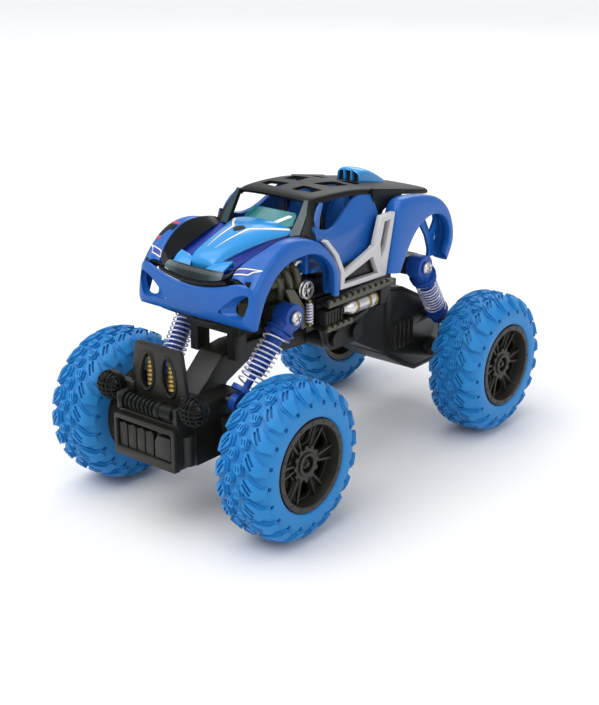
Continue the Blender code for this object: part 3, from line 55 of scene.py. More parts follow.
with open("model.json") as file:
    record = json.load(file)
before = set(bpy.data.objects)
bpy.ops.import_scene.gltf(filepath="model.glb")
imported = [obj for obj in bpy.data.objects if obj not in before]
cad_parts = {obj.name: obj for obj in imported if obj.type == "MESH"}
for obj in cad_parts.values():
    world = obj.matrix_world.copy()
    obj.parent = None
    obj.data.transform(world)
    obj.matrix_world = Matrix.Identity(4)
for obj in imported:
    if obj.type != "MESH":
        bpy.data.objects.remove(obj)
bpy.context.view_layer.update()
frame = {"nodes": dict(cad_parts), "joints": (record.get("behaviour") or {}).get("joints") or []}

MM = 0.001
SIDES = {"left": 1, "right": -1}
ENDS = {"front": -1, "rear": 1}
CORNERS = [(end, side) for end in ENDS for side in SIDES]
JOINTS = {joint["name"]: joint for joint in frame["joints"]}


# ---------------------------------------------------------------- places

def mm(*place):
    """A place or a size in millimetres, in the scene's metres."""
    return Vector(place) * MM


def box_mm(node):
    """A CAD node's lowest and highest corners in millimetres."""
    low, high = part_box(node)
    return low / MM, high / MM


def middle_mm(node):
    low, high = box_mm(node)
    return (low + high) / 2


def joint_place(name):
    return Vector(JOINTS[name]["pos_m"]) / MM


def mix(a, b, share):
    return a + (b - a) * share


def ease(value, low, high):
    """0 below low, 1 above high, and smooth between."""
    share = min(max((value - low) / (high - low), 0.0), 1.0)
    return share * share * (3 - 2 * share)


def axis_matrix(start, axis, across=(1, 0, 0)):
    """Local Z along axis and local X as near to across as can be, from start. In millimetres."""
    z, across = Vector(axis).normalized(), Vector(across)
    if abs(z.dot(across)) > 0.99:
        across = Vector((0, 1, 0))
    y = z.cross(across).normalized()
    x = y.cross(z)
    turn = Matrix((x, y, z)).transposed().to_4x4()
    return Matrix.Translation(mm(*start)) @ turn


# ---------------------------------------------------------------- modelling

def deselect():
    bpy.ops.object.select_all(action="DESELECT")


def only(piece):
    deselect()
    piece.select_set(True)
    bpy.context.view_layer.objects.active = piece
    return piece


def named(piece, name):
    piece.name = name
    piece.data.name = name
    return piece


def linked(name, data):
    """A new object in the scene."""
    piece = bpy.data.objects.new(name, data)
    bpy.context.scene.collection.objects.link(piece)
    return piece


def meshed(piece):
    """Turns a curve into a mesh."""
    name = piece.name
    only(piece)
    bpy.ops.object.convert(target="MESH")
    return named(bpy.context.object, name)


def settle(piece):
    """Puts the object's place, turn and size into its mesh."""
    only(piece)
    bpy.ops.object.transform_apply(location=True, rotation=True, scale=True)
    return piece


def modified(piece, kind, **settings):
    only(piece)
    modifier = piece.modifiers.new(kind, kind)
    for setting, value in settings.items():
        setattr(modifier, setting, value)
    bpy.ops.object.modifier_apply(modifier=modifier.name)
    return piece


def bevelled(piece, width, segments=2, angle=35):
    return modified(piece, "BEVEL", width=width * MM, segments=segments, limit_method="ANGLE",
                    angle_limit=math.radians(angle), harden_normals=False)


def smoothed(piece, angle=35):
    only(piece)
    bpy.ops.object.shade_smooth_by_angle(angle=math.radians(angle))
    return piece


def subdivided(piece, levels):
    return modified(piece, "SUBSURF", levels=levels, render_levels=levels)


def walled(piece, thickness, offset=-1):
    return modified(piece, "SOLIDIFY", thickness=thickness * MM, offset=offset, use_even_offset=True,
                    use_rim=True)


def edited(piece, *steps):
    """Runs edit-mode steps on the whole of a piece."""
    only(piece)
    bpy.ops.object.mode_set(mode="EDIT")
    bpy.ops.mesh.select_all(action="SELECT")
    for step in steps:
        step()
    bpy.ops.object.mode_set(mode="OBJECT")
    return piece


def merged(piece, distance):
    return edited(piece, lambda: bpy.ops.mesh.remove_doubles(threshold=distance * MM))


def consistent(piece, merge=0.004):
    """Merges what touches and turns every face outwards."""
    return edited(piece, lambda: bpy.ops.mesh.remove_doubles(threshold=merge * MM),
                  lambda: bpy.ops.mesh.normals_make_consistent(inside=False))


def block(name, low, high, bevel=0.3, segments=2):
    """A box between two corners, with its edges broken."""
    low, high = Vector(low), Vector(high)
    deselect()
    bpy.ops.mesh.primitive_cube_add(size=1, location=mm(*((low + high) / 2)), scale=mm(*(high - low)))
    piece = settle(named(bpy.context.object, name))
    return smoothed(bevelled(piece, bevel, segments)) if bevel else piece


def bar(name, start, end, radius, sides=32, bevel=0.0, tip=None):
    """A round bar between two points, which may narrow to a tip radius."""
    start, end = Vector(start), Vector(end)
    axis = end - start
    deselect()
    bpy.ops.mesh.primitive_cone_add(
        vertices=sides, radius1=radius * MM, radius2=(radius if tip is None else tip) * MM,
        depth=axis.length * MM, location=mm(*((start + end) / 2)),
        rotation=axis.to_track_quat("Z", "Y").to_euler())
    piece = settle(named(bpy.context.object, name))
    if bevel:
        bevelled(piece, bevel)
    return smoothed(piece)


def turned(name, start, axis, profile, steps=64, angle=35):
    """(radius, along) points spun round an axis through start."""
    mesh = bpy.data.meshes.new(name)
    mesh.from_pydata([mm(radius, 0, along) for radius, along in profile],
                     [(i, i + 1) for i in range(len(profile) - 1)], [])
    piece = linked(name, mesh)
    modified(piece, "SCREW", axis="Z", steps=steps, render_steps=steps, use_merge_vertices=True,
             merge_threshold=0.001 * MM)
    piece.data.transform(axis_matrix(start, axis))
    return smoothed(consistent(piece), angle)


def rounded(outline, radius, steps=3):
    """An outline with its corners cut to short arcs."""
    points = []
    count = len(outline)
    for i, corner in enumerate(outline):
        corner = Vector(corner)
        before, after = Vector(outline[i - 1]) - corner, Vector(outline[(i + 1) % count]) - corner
        reach = min(radius, before.length * 0.45, after.length * 0.45)
        start, end = corner + before.normalized() * reach, corner + after.normalized() * reach
        for step in range(steps + 1):
            t = step / steps
            points.append(tuple(start * (1 - t) ** 2 + corner * 2 * t * (1 - t) + end * t * t))
    return points


def circle(radius, steps):
    return [(radius * math.cos(math.tau * i / steps),
             radius * math.sin(math.tau * i / steps)) for i in range(steps)]


PLATE_TURNS = {
    "XY": Matrix.Identity(3),
    "YZ": Matrix(((0, 0, 1), (1, 0, 0), (0, 1, 0))),
    "XZ": Matrix(((1, 0, 0), (0, 0, -1), (0, 1, 0))),
}


def plate(name, plane, outline, low, high, holes=(), bevel=0.0):
    """A flat plate: an outline in one plane, from low to high along the third axis, with holes."""
    curve = bpy.data.curves.new(name, "CURVE")
    curve.dimensions = "2D"
    curve.fill_mode = "BOTH"
    for loop in (outline, *holes):
        spline = curve.splines.new("POLY")
        spline.points.add(len(loop) - 1)
        for point, (u, v) in zip(spline.points, loop):
            point.co = (u * MM, v * MM, 0, 1)
        spline.use_cyclic_u = True
    curve.extrude = ((high - low) / 2 - bevel) * MM
    curve.bevel_depth = bevel * MM
    curve.offset = -bevel * MM
    curve.bevel_resolution = 1
    piece = meshed(linked(name, curve))
    middle = (low + high) / 2 * MM
    turn = PLATE_TURNS[plane]
    side = turn @ Vector((0, 0, 1))
    piece.data.transform(turn.to_4x4())
    piece.data.transform(Matrix.Translation(Vector(abs(c) for c in side) * middle))
    return smoothed(consistent(piece))


def tube(name, points, radius, sides=2, closed=False, smooth_path=True):
    """A round wire or pipe along points."""
    curve = bpy.data.curves.new(name, "CURVE")
    curve.dimensions = "3D"
    curve.bevel_depth = radius * MM
    curve.bevel_resolution = sides
    curve.resolution_u = 6
    curve.use_fill_caps = not closed
    spline = curve.splines.new("BEZIER" if smooth_path else "POLY")
    if smooth_path:
        spline.bezier_points.add(len(points) - 1)
        for knot, point in zip(spline.bezier_points, points):
            knot.co = mm(*point)
            knot.handle_left_type = knot.handle_right_type = "AUTO"
    else:
        spline.points.add(len(points) - 1)
        for knot, point in zip(spline.points, points):
            knot.co = (*mm(*point), 1)
    spline.use_cyclic_u = closed
    piece = meshed(linked(name, curve))
    return smoothed(consistent(piece), 60)


def sheet_of(name, rows):
    """A surface through rows of points, all of one length."""
    count = len(rows[0])
    mesh = bpy.data.meshes.new(name)
    faces = [(r * count + c, r * count + c + 1, (r + 1) * count + c + 1, (r + 1) * count + c)
             for r in range(len(rows) - 1) for c in range(count - 1)]
    mesh.from_pydata([mm(*point) for row in rows for point in row], [], faces)
    piece = linked(name, mesh)
    return piece


def face_outwards(skin, inside):
    """Turns an open skin's faces away from a point inside it."""
    middle = mm(*inside)
    inward = sum(1 if (face.center - middle).dot(face.normal) < 0 else -1 for face in skin.data.polygons)
    if inward > 0:
        skin.data.flip_normals()
    return skin


def panel(name, rows, inside, levels, wall, merge=0.004, mirrored=False, offset=-1):
    """A curved panel through rows of points, faced away from a point inside, smoothed and given a wall."""
    skin = sheet_of(name, rows)
    if mirrored:
        skin = with_mirror(skin)
    face_outwards(consistent(skin, merge), inside)
    if levels:
        subdivided(skin, levels)
    return walled(skin, wall, offset)


def copied(piece, name, matrix=None):
    """A copy with its own mesh. A mirrored copy's faces are turned back outwards."""
    twin = linked(name, piece.data.copy())
    twin.data.name = name
    if matrix is not None:
        twin.data.transform(matrix)
        if matrix.determinant() < 0:
            twin.data.flip_normals()
    return twin


MIRROR = Matrix.Diagonal((-1, 1, 1, 1))


def with_mirror(piece):
    """The piece and its mirrored twin across the truck, as one."""
    return joined(piece.name, [piece, copied(piece, piece.name + "_twin", MIRROR)])


def joined(name, pieces):
    deselect()
    for piece in pieces:
        piece.select_set(True)
    bpy.context.view_layer.objects.active = pieces[0]
    bpy.ops.object.join()
    return named(bpy.context.object, name)


def cut_by(piece, cutter):
    """Takes the cutter's shape out of the piece and throws the cutter away."""
    modified(piece, "BOOLEAN", operation="DIFFERENCE", solver="EXACT", object=cutter)
    bpy.data.objects.remove(cutter)
    return piece


def rounded_copy(node, name, bevel=0.35, angle=30):
    """A CAD node's shape with its edges softened, which then stands for the node."""
    piece = linked(name, frame["nodes"][node].data.copy())
    piece.data.materials.clear()
    edited(piece, lambda: bpy.ops.mesh.remove_doubles(threshold=0.003 * MM),
           lambda: bpy.ops.mesh.dissolve_limited(angle_limit=math.radians(4)))
    modified(piece, "BEVEL", width=bevel * MM, segments=2, limit_method="ANGLE",
             angle_limit=math.radians(angle), use_clamp_overlap=True)
    return smoothed(piece, 40)


# ---------------------------------------------------------------- finishes

class Wave:
    """A socket that adds Math nodes to its tree as it is reckoned with."""

    def __init__(self, tree, socket):
        self.tree, self.socket = tree, socket

    def reckon(self, operation, *values):
        node = self.tree.nodes.new("ShaderNodeMath")
        node.operation = operation
        for slot, value in zip(node.inputs, values):
            if isinstance(value, Wave):
                self.tree.links.new(value.socket, slot)
            else:
                slot.default_value = value
        return Wave(self.tree, node.outputs[0])

    def __add__(self, other):
        return self.reckon("ADD", self, other)

    __radd__ = __add__

    def __sub__(self, other):
        return self.reckon("SUBTRACT", self, other)

    def __rsub__(self, other):
        return self.reckon("SUBTRACT", other, self)

    def __mul__(self, other):
        return self.reckon("MULTIPLY", self, other)

    __rmul__ = __mul__

    def __abs__(self):
        return self.reckon("ABSOLUTE", self)


class Finish:
    """One material: a Principled shader whose look is built up call by call."""

    def __init__(self, name, **constants):
        self.material = bpy.data.materials.new(name)
        self.material.use_nodes = True
        self.tree = self.material.node_tree
        self.shader = self.tree.nodes["Principled BSDF"]
        for socket, value in constants.items():
            self.shader.inputs[socket.replace("_", " ")].default_value = value
        place = self.node("ShaderNodeTexCoord")
        self.place = Wave(self.tree, place.outputs["Object"])
        parts = self.node("ShaderNodeSeparateXYZ", {}, {"Vector": self.place})
        self.x, self.y, self.z = (Wave(self.tree, output) for output in parts.outputs)

    def node(self, kind, settings=None, sockets=None):
        made = self.tree.nodes.new(kind)
        for setting, value in (settings or {}).items():
            if setting == "stops":
                for _ in range(len(value) - 2):
                    made.color_ramp.elements.new(0.5)
                for element, (position, colour) in zip(made.color_ramp.elements, value):
                    element.position = position
                    element.color = colour
            else:
                setattr(made, setting, value)
        for socket, value in (sockets or {}).items():
            target = made.inputs[socket]
            if isinstance(value, Wave):
                self.tree.links.new(value.socket, target)
            else:
                target.default_value = value
        return made

    def wave(self, kind, output, settings=None, sockets=None):
        return Wave(self.tree, self.node(kind, settings, sockets).outputs[output])

    def noise(self, size, detail=4.0, roughness=0.55):
        """Cloudy noise from 0 to 1 whose grains are about size millimetres."""
        return self.wave("ShaderNodeTexNoise", 0, {}, {
            "Vector": self.place, "Scale": 1 / (size * MM), "Detail": detail, "Roughness": roughness})

    def blend(self, factor, first, second):
        """One colour into another by a factor."""
        return self.wave("ShaderNodeMix", 2, {"data_type": "RGBA"}, {0: factor, 6: first, 7: second})

    def ramp(self, factor, stops):
        return self.wave("ShaderNodeValToRGB", 0, {"stops": stops}, {"Fac": factor})

    def set(self, socket, value):
        self.tree.links.new(value.socket, self.shader.inputs[socket])
        return self

    def bump(self, height, strength, depth):
        made = self.node("ShaderNodeBump", {},
                         {"Strength": strength, "Distance": depth * MM, "Height": height})
        self.tree.links.new(made.outputs["Normal"], self.shader.inputs["Normal"])
        return self


def shade(colour, factor):
    return (colour[0] * factor, colour[1] * factor, colour[2] * factor, 1.0)


def moulded(name, colour, roughness=0.45, mottle=0.12, grain=0.35, depth=0.02, **constants):
    """Moulded plastic: a slightly uneven colour and gloss, and a fine grain."""
    finish = Finish(name, **constants)
    patches = finish.noise(9.0, 3.0)
    fine = finish.noise(grain, 3.0)
    tone = finish.blend(patches, shade(colour, 1 - mottle), shade(colour, 1 + mottle))
    finish.set("Base Color", tone)
    finish.set("Roughness", roughness - 0.07 + patches * 0.08 + fine * 0.06)
    finish.bump(fine, 0.35, depth)
    return finish


def wear(piece, finish):
    piece.data.materials.clear()
    piece.data.materials.append(finish.material)
    return piece


def dress(piece, finish, body, slot, *nodes):
    """Completes a piece: its finish, the body it rides on, and the CAD nodes it stands for. The slot is not
    used.
    """
    wear(piece, finish_of(finish))
    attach(piece, body)
    if nodes:
        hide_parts(*nodes)
    return piece


# ---------------------------------------------------------------- settings

class TruckSizes(bpy.types.PropertyGroup):
    lug_count: IntProperty(name="Lugs", description="Shoulder lugs round each side of a tyre", default=20,
                           min=8)
    lug_height: FloatProperty(name="Lug height", description="Height of the tread's lugs", default=2.15 * MM,
                              unit="LENGTH", subtype="DISTANCE")
    bead_bolts: IntProperty(name="Bead bolts", description="Small bolts round each rim's ring", default=16,
                            min=4)
    coil_turns: FloatProperty(name="Coil turns", description="Turns of each shock's spring", default=10.0)
    wire_radius: FloatProperty(name="Wire radius", description="Radius of the spring wire", default=0.36 * MM,
                               unit="LENGTH", subtype="DISTANCE")
    panel_wall: FloatProperty(name="Panel wall", description="Thickness of the painted body panels",
                              default=1.1 * MM, unit="LENGTH", subtype="DISTANCE")


def colour_property(name, description, value):
    return FloatVectorProperty(name=name, description=description, default=value, size=3, subtype="COLOR",
                               min=0.0, max=1.0)


class TruckColours(bpy.types.PropertyGroup):
    rubber: colour_property("Tyres", "Blue rubber of the tyres", (0.010, 0.210, 0.540))
    paint: colour_property("Body", "Deep blue of the body panels", (0.008, 0.108, 0.430))
    hood: colour_property("Hood", "Lighter blue of the hood and nose", (0.018, 0.280, 0.680))
    violet: colour_property("Channels", "Blue-violet of the shaded channels", (0.012, 0.040, 0.330))
    shock: colour_property("Shocks", "Blue plastic of the shocks", (0.010, 0.066, 0.330))
    black: colour_property("Chassis", "Black plastic of the chassis", (0.013, 0.013, 0.010))
    olive: colour_property("Fittings", "Olive-grey of the moulded fittings", (0.070, 0.066, 0.038))
    silver: colour_property("Trim", "Silver paint of the side trim", (0.560, 0.545, 0.545))
    cream: colour_property("Pinstripes", "Cream of the painted lines", (0.900, 0.800, 0.680))
    teal: colour_property("Screen", "Tint of the windscreen", (0.020, 0.420, 0.430))


# ---------------------------------------------------------------- this truck's finishes

MADE = {}


def colour(name):
    return tuple(getattr(bpy.context.scene.truck_colours, name))


def rubber():
    finish = Finish("tyre_rubber", Specular_IOR_Level=0.35, Sheen_Weight=0.12, Sheen_Roughness=0.4)
    tint = colour("rubber")
    cloud, grain = finish.noise(7.0, 3.0), finish.noise(0.45, 4.0, 0.7)
    finish.set("Base Color", finish.blend(cloud * 0.7 + grain * 0.3, shade(tint, 0.84), shade(tint, 1.10)))
    finish.set("Roughness", 0.44 + cloud * 0.10 + grain * 0.08)
    return finish.bump(grain, 0.30, 0.04)


def painted(name, tint, roughness=0.30, coat=0.35):
    finish = Finish(name, Coat_Roughness=0.12, Specular_IOR_Level=0.28)
    cloud, flake = finish.noise(14.0, 2.0), finish.noise(0.25, 2.0)
    finish.set("Base Color", finish.blend(cloud * 0.6 + flake * 0.4, shade(tint, 0.90), shade(tint, 1.10)))
    finish.set("Roughness", roughness - 0.04 + flake * 0.08)
    finish.set("Coat Weight", coat - 0.1 + cloud * 0.2)
    return finish.bump(finish.noise(0.8, 2.0), 0.10, 0.01)


def bright_wire():
    finish = Finish("spring_wire", Metallic=0.35)
    streak = finish.noise(0.6, 3.0)
    finish.set("Base Color", finish.blend(streak, (0.66, 0.64, 0.86, 1), (0.95, 0.94, 1.0, 1)))
    finish.set("Roughness", 0.22 + streak * 0.12)
    return finish.bump(streak, 0.15, 0.01)


def plated(name, tint, roughness=0.24):
    finish = Finish(name, Metallic=0.9)
    scuff = finish.noise(1.6, 5.0, 0.7)
    finish.set("Base Color", finish.blend(scuff, shade(tint, 0.72), shade(tint, 1.12)))
    finish.set("Roughness", roughness + scuff * 0.18)
    return finish.bump(scuff, 0.2, 0.015)


def clear_teal():
    tint = colour("teal")
    finish = Finish("tinted_screen", Transmission_Weight=0.55, IOR=1.45)
    haze = finish.noise(5.0, 3.0)
    # painted shade and highlight: the screen's tint darkens towards -X and lightens towards +X
    tint_with_painted_shade_and_highlight = finish.ramp(haze * 0.35 + (finish.x * 38.0 + 0.5) * 0.65, [
        (0.0, shade(tint, 0.55)), (0.5, (*tint, 1.0)), (1.0, (0.10, 0.62, 0.60, 1.0))])
    finish.set("Base Color", tint_with_painted_shade_and_highlight)
    finish.set("Roughness", 0.06 + haze * 0.06)
    finish.set("Alpha", 0.62 + haze * 0.12)
    return finish.bump(haze, 0.05, 0.02)


def smoke():
    finish = Finish("smoky_lens", Specular_IOR_Level=0.3, Coat_Roughness=0.05)
    cloud = finish.noise(3.0, 2.0)
    # painted highlight: the lens is darkest in the middle and lighter towards both ends
    tint = finish.ramp(abs(finish.x) * 60.0 + cloud * 0.12, [
        (0.0, (0.006, 0.012, 0.014, 1)), (0.55, (0.012, 0.028, 0.032, 1)), (1.0, (0.11, 0.16, 0.18, 1))])
    finish.set("Base Color", tint)
    finish.set("Roughness", 0.10 + cloud * 0.08)
    finish.set("Coat Weight", 0.10 + cloud * 0.1)
    return finish.bump(cloud, 0.05, 0.01)


MAKERS = {
    "rubber": rubber,
    "paint": lambda: painted("body_paint", colour("paint"), 0.34, 0.16),
    "hood": lambda: painted("hood_paint", colour("hood"), 0.26, 0.5),
    # the channels' darker blue-violet is painted shade in the troughs between hood and fenders
    "violet": lambda: painted("channel_paint", colour("violet"), 0.4, 0.2),
    "cream": lambda: painted("pinstripe_paint", colour("cream"), 0.35, 0.2),
    "red": lambda: painted("red_paint", (0.72, 0.02, 0.015), 0.32, 0.3),
    "purple": lambda: painted("purple_paint", (0.026, 0.055, 0.34), 0.32, 0.2),
    "shock": lambda: moulded("shock_plastic", colour("shock"), 0.32, Specular_IOR_Level=0.3),
    "rim": lambda: moulded("rim_plastic", (0.014, 0.013, 0.009), 0.46, 0.25, 0.4, 0.03),
    "black": lambda: moulded("chassis_plastic", colour("black"), 0.40, 0.3, 0.5, 0.03,
                             Specular_IOR_Level=0.35),
    "cage": lambda: moulded("cage_plastic", (0.007, 0.008, 0.008), 0.38, 0.25, 0.4, 0.02,
                            Specular_IOR_Level=0.15),
    "gloss": lambda: moulded("gloss_black", (0.004, 0.005, 0.006), 0.20, 0.2, 0.6, 0.008,
                             Specular_IOR_Level=0.16, Coat_Weight=0.12),
    # the grey-teal of the pillar faces: a painted reflection on the black cage
    "slate": lambda: moulded("slate_plastic", (0.014, 0.042, 0.050), 0.30, 0.2, 0.6, 0.01),
    "olive": lambda: moulded("fitting_plastic", colour("olive"), 0.36, 0.3, 0.5, 0.03),
    "silver": lambda: painted("silver_trim_paint", colour("silver"), 0.34, 0.15),
    "wire": bright_wire,
    "steel": lambda: plated("plated_steel", (0.72, 0.70, 0.68)),
    "brass": lambda: plated("brass", (0.36, 0.25, 0.08), 0.34),
    "screen": clear_teal,
    "smoke": smoke,
    "nylon": lambda: moulded("natural_nylon", (0.80, 0.77, 0.68), 0.45),
    # the tub: the body paint darkened to 0.92, painted shade inside the cabin
    "seat": lambda: painted("tub_paint", shade(colour("paint"), 0.92)[:3], 0.36, 0.2),
    # the white of the screen's glint: a painted reflection
    "glint_white": lambda: painted("screen_flash_paint", (0.80, 0.92, 0.94), 0.2, 0.4),
    "green": lambda: moulded("dial_green", (0.02, 0.50, 0.14), 0.25, Coat_Weight=0.4),
    "shrink": lambda: moulded("shrink_wrap", (0.02, 0.22, 0.08), 0.25, Coat_Weight=0.3),
    "board": lambda: moulded("circuit_board", (0.015, 0.16, 0.06), 0.35),
}


def finish_of(name):
    if name not in MADE:
        MADE[name] = MAKERS[name]()
    return MADE[name]


# ---------------------------------------------------------------- tyres

# half the carcass: distance from the tyre's middle plane, and radius
CARCASS = [(0.0, 29.8), (3.0, 29.75), (6.2, 29.3), (8.9, 28.1), (10.8, 26.6), (11.9, 24.8), (12.3, 22.8),
           (12.3, 20.8), (12.0, 19.2), (11.2, 18.75)]
STEPS_PER_LUG = 5       # the carcass has this many faces round for each lug


def carcass_line():
    """Dense (distance out from the crown, half width, radius) points along the carcass."""
    knots = [Vector(point) for point in CARCASS]
    ahead = [Vector((-CARCASS[1][0], CARCASS[1][1]))] + knots + [knots[-1] * 2 - knots[-2]]
    line = []
    for i in range(len(knots) - 1):
        a, b, c, d = ahead[i:i + 4]
        for step in range(6):
            t = step / 6
            line.append(0.5 * (2 * b + (c - a) * t + (2 * a - 5 * b + 4 * c - d) * t * t
                               + (3 * b - a - 3 * c + d) * t ** 3))
    line.append(knots[-1])
    reach, out = 0.0, []
    for i, point in enumerate(line):
        if i:
            reach += (point - line[i - 1]).length
        out.append((reach, point.x, point.y))
    return out


CARCASS_LINE = carcass_line()


def carcass_at(reach):
    """Half width, radius and outward direction at a signed distance from the crown."""
    side = 1 if reach >= 0 else -1
    reach = min(abs(reach), CARCASS_LINE[-1][0] - 0.001)
    for (s0, x0, r0), (s1, x1, r1) in zip(CARCASS_LINE, CARCASS_LINE[1:]):
        if reach <= s1:
            t = (reach - s0) / (s1 - s0)
            along = Vector((x1 - x0, r1 - r0)).normalized()
            return side * mix(x0, x1, t), mix(r0, r1, t), Vector((-along.y * side, along.x))


# outlines as (distance out from the crown, distance round the tread), and how high each tier stands
SHOULDER_FOOT = [(3.3, -3.7), (6.2, -4.9), (8.6, -2.9), (10.9, -0.9), (13.1, -0.9), (13.1, 4.6), (8.2, 4.9),
                 (3.2, 0.8)]
SHOULDER_TOP = [(3.9, -3.3), (6.1, -4.2), (8.3, -2.3), (10.6, -0.2), (12.5, -0.2), (12.2, 0.8), (12.9, 1.2),
                (12.4, 2.4), (12.9, 3.0), (12.3, 4.0), (8.4, 4.2), (3.8, 0.4)]
CENTRE_FOOT = [(-1.5, -2.1), (0.2, -2.7), (1.9, -1.9), (1.6, -0.5), (2.2, 0.7), (1.5, 2.3), (-0.2, 2.7),
               (-1.9, 1.7), (-1.5, 0.3), (-2.2, -0.8)]
CENTRE_TOP = [(-1.1, -1.7), (0.2, -2.2), (1.4, -1.5), (1.1, -0.4), (1.7, 0.7), (1.1, 1.8), (-0.2, 2.2),
              (-1.4, 1.4), (-1.1, 0.3), (-1.7, -0.7)]


def slot_outline(start, end, half_width):
    """A long hole with rounded ends."""
    start, end = Vector(start), Vector(end)
    along = (end - start).normalized() * half_width
    across = Vector((-along.y, along.x))
    return [tuple(p) for p in (start - across, start - along * 0.9, start + across, end + across,
                               end + along * 0.9, end - across)]


def flat_lug(name, foot, top, slots, height):
    """A lug lying flat: a low wide foot and a taller top with slots in it. Local X is out from the crown,
    Y is round the tread and Z is up."""
    step = height * 0.42
    tiers = [plate(name + "_foot", "XY", rounded(foot, 0.7, 2), -0.6, step, bevel=0.16),
             plate(name + "_top", "XY", rounded(top, 0.35, 1), 0.2, height, slots, bevel=0.10)]
    lug = joined(name, tiers)
    shape = bmesh.new()
    shape.from_mesh(lug.data)
    for axis, cuts in ((0, (-1, 1, 5.5, 7.5, 9, 10.2, 11.4)), (1, (-2.4, 0, 2.4))):
        for place in cuts:
            point, normal = [0, 0, 0], [0, 0, 0]
            point[axis], normal[axis] = place * MM, 1
            everything = shape.verts[:] + shape.edges[:] + shape.faces[:]
            bmesh.ops.bisect_plane(shape, geom=everything, plane_co=point, plane_no=normal, dist=0.01 * MM)
    shape.to_mesh(lug.data)
    shape.free()
    return lug


def bend_to_tread(lug, side, shift, turn, height_share):
    """Wraps a flat lug's copy round the tyre about X: side and shift place it across the tread."""
    for vertex in lug.data.vertices:
        reach, round_tread, height = vertex.co / MM
        reach = side * (reach + shift)
        height *= 1 - (1 - height_share) * ease(abs(reach), 8.5, 12.0)
        x, radius, out = carcass_at(reach)
        angle = turn + round_tread / 30.5
        x, radius = x + out.x * height, radius + out.y * height
        vertex.co = mm(x, -math.cos(angle) * radius, -math.sin(angle) * radius)
    if side < 0:
        lug.data.flip_normals()
    return lug


def tyre_carcass(name, count):
    """The rubber ring between the lugs, with a small square dimple beside each shoulder lug."""
    outer = [(-x, r) for _, x, r in reversed(CARCASS_LINE[1::3])] + [(x, r) for _, x, r in CARCASS_LINE[0::3]]
    inner = [(11.0, 18.7), (5.0, 18.7), (-5.0, 18.7), (-11.0, 18.7)]
    steps = count * STEPS_PER_LUG
    shape = bmesh.new()
    rings = [[shape.verts.new(mm(x, -math.cos(a) * r, -math.sin(a) * r)) for x, r in outer + inner]
             for a in (math.tau * i / steps for i in range(steps))]
    ring_length = len(rings[0])
    dimples = []
    for i in range(steps):
        for j in range(ring_length):
            after = (j + 1) % ring_length
            ahead = rings[(i + 1) % steps]
            face = shape.faces.new((rings[i][j], ahead[j], ahead[after], rings[i][after]))
            face.smooth = True
            x, radius = face.calc_center_median().x / MM, face.calc_center_median().yz.length / MM
            phase = i % STEPS_PER_LUG
            if 23.9 < radius < 25.6 and abs(x) > 11 and phase == (0 if x > 0 else 2):
                dimples.append(face)
    bmesh.ops.recalc_face_normals(shape, faces=shape.faces[:])
    bmesh.ops.inset_individual(shape, faces=dimples, thickness=0.12 * MM, depth=0.0)
    for face in dimples:
        push = face.normal.copy() * -0.7 * MM
        for vertex in face.verts:
            vertex.co += push
        face.smooth = False
    mesh = bpy.data.meshes.new(name)
    shape.to_mesh(mesh)
    shape.free()
    piece = linked(name, mesh)
    return piece


def build_tyres(sizes):
    """One tyre about the origin with its outer face towards +X, then one at each corner."""
    count, height = sizes.lug_count, sizes.lug_height / MM
    pitch = math.tau / count
    shoulder = flat_lug("shoulder_lug", SHOULDER_FOOT, SHOULDER_TOP, [
        slot_outline((5.1, -3.3), (7.5, 0.5), 0.42), slot_outline((4.7, -1.7), (7.0, 2.2), 0.42)], height)
    centre = flat_lug("centre_lug", CENTRE_FOOT, CENTRE_TOP,
                      [slot_outline((-0.9, -0.9), (-0.3, 0.9), 0.22),
                       slot_outline((0.3, -0.9), (0.9, 0.9), 0.22)], height * 0.95)
    lugs = []
    for i in range(count):
        for side, phase in ((1, 0.0), (-1, 0.5)):
            turn = pitch * (i + phase)
            lugs.append(bend_to_tread(copied(shoulder, "lug"), side, 0.0, turn, 0.62))
            turn += pitch * 0.30
            lugs.append(bend_to_tread(copied(centre, "lug"), side, 1.9, turn, 1.0))
    tyre = smoothed(joined("tyre", [tyre_carcass("carcass", count)] + lugs), 40)
    for part in (shoulder, centre):
        bpy.data.objects.remove(part)
    for end, side in CORNERS:
        node = f"tyre_{end}_{side}"
        place = Matrix.Translation(middle_mm(node) * MM)
        if side == "right":
            place = place @ MIRROR
        wheel = "rear_wheels" if end == "rear" else f"front_wheel_{side}"
        dress(copied(tyre, f"lugged_tyre_{end}_{side}", place), "rubber", wheel, "tyre_blue", node)
    bpy.data.objects.remove(tyre)


# ---------------------------------------------------------------- rims

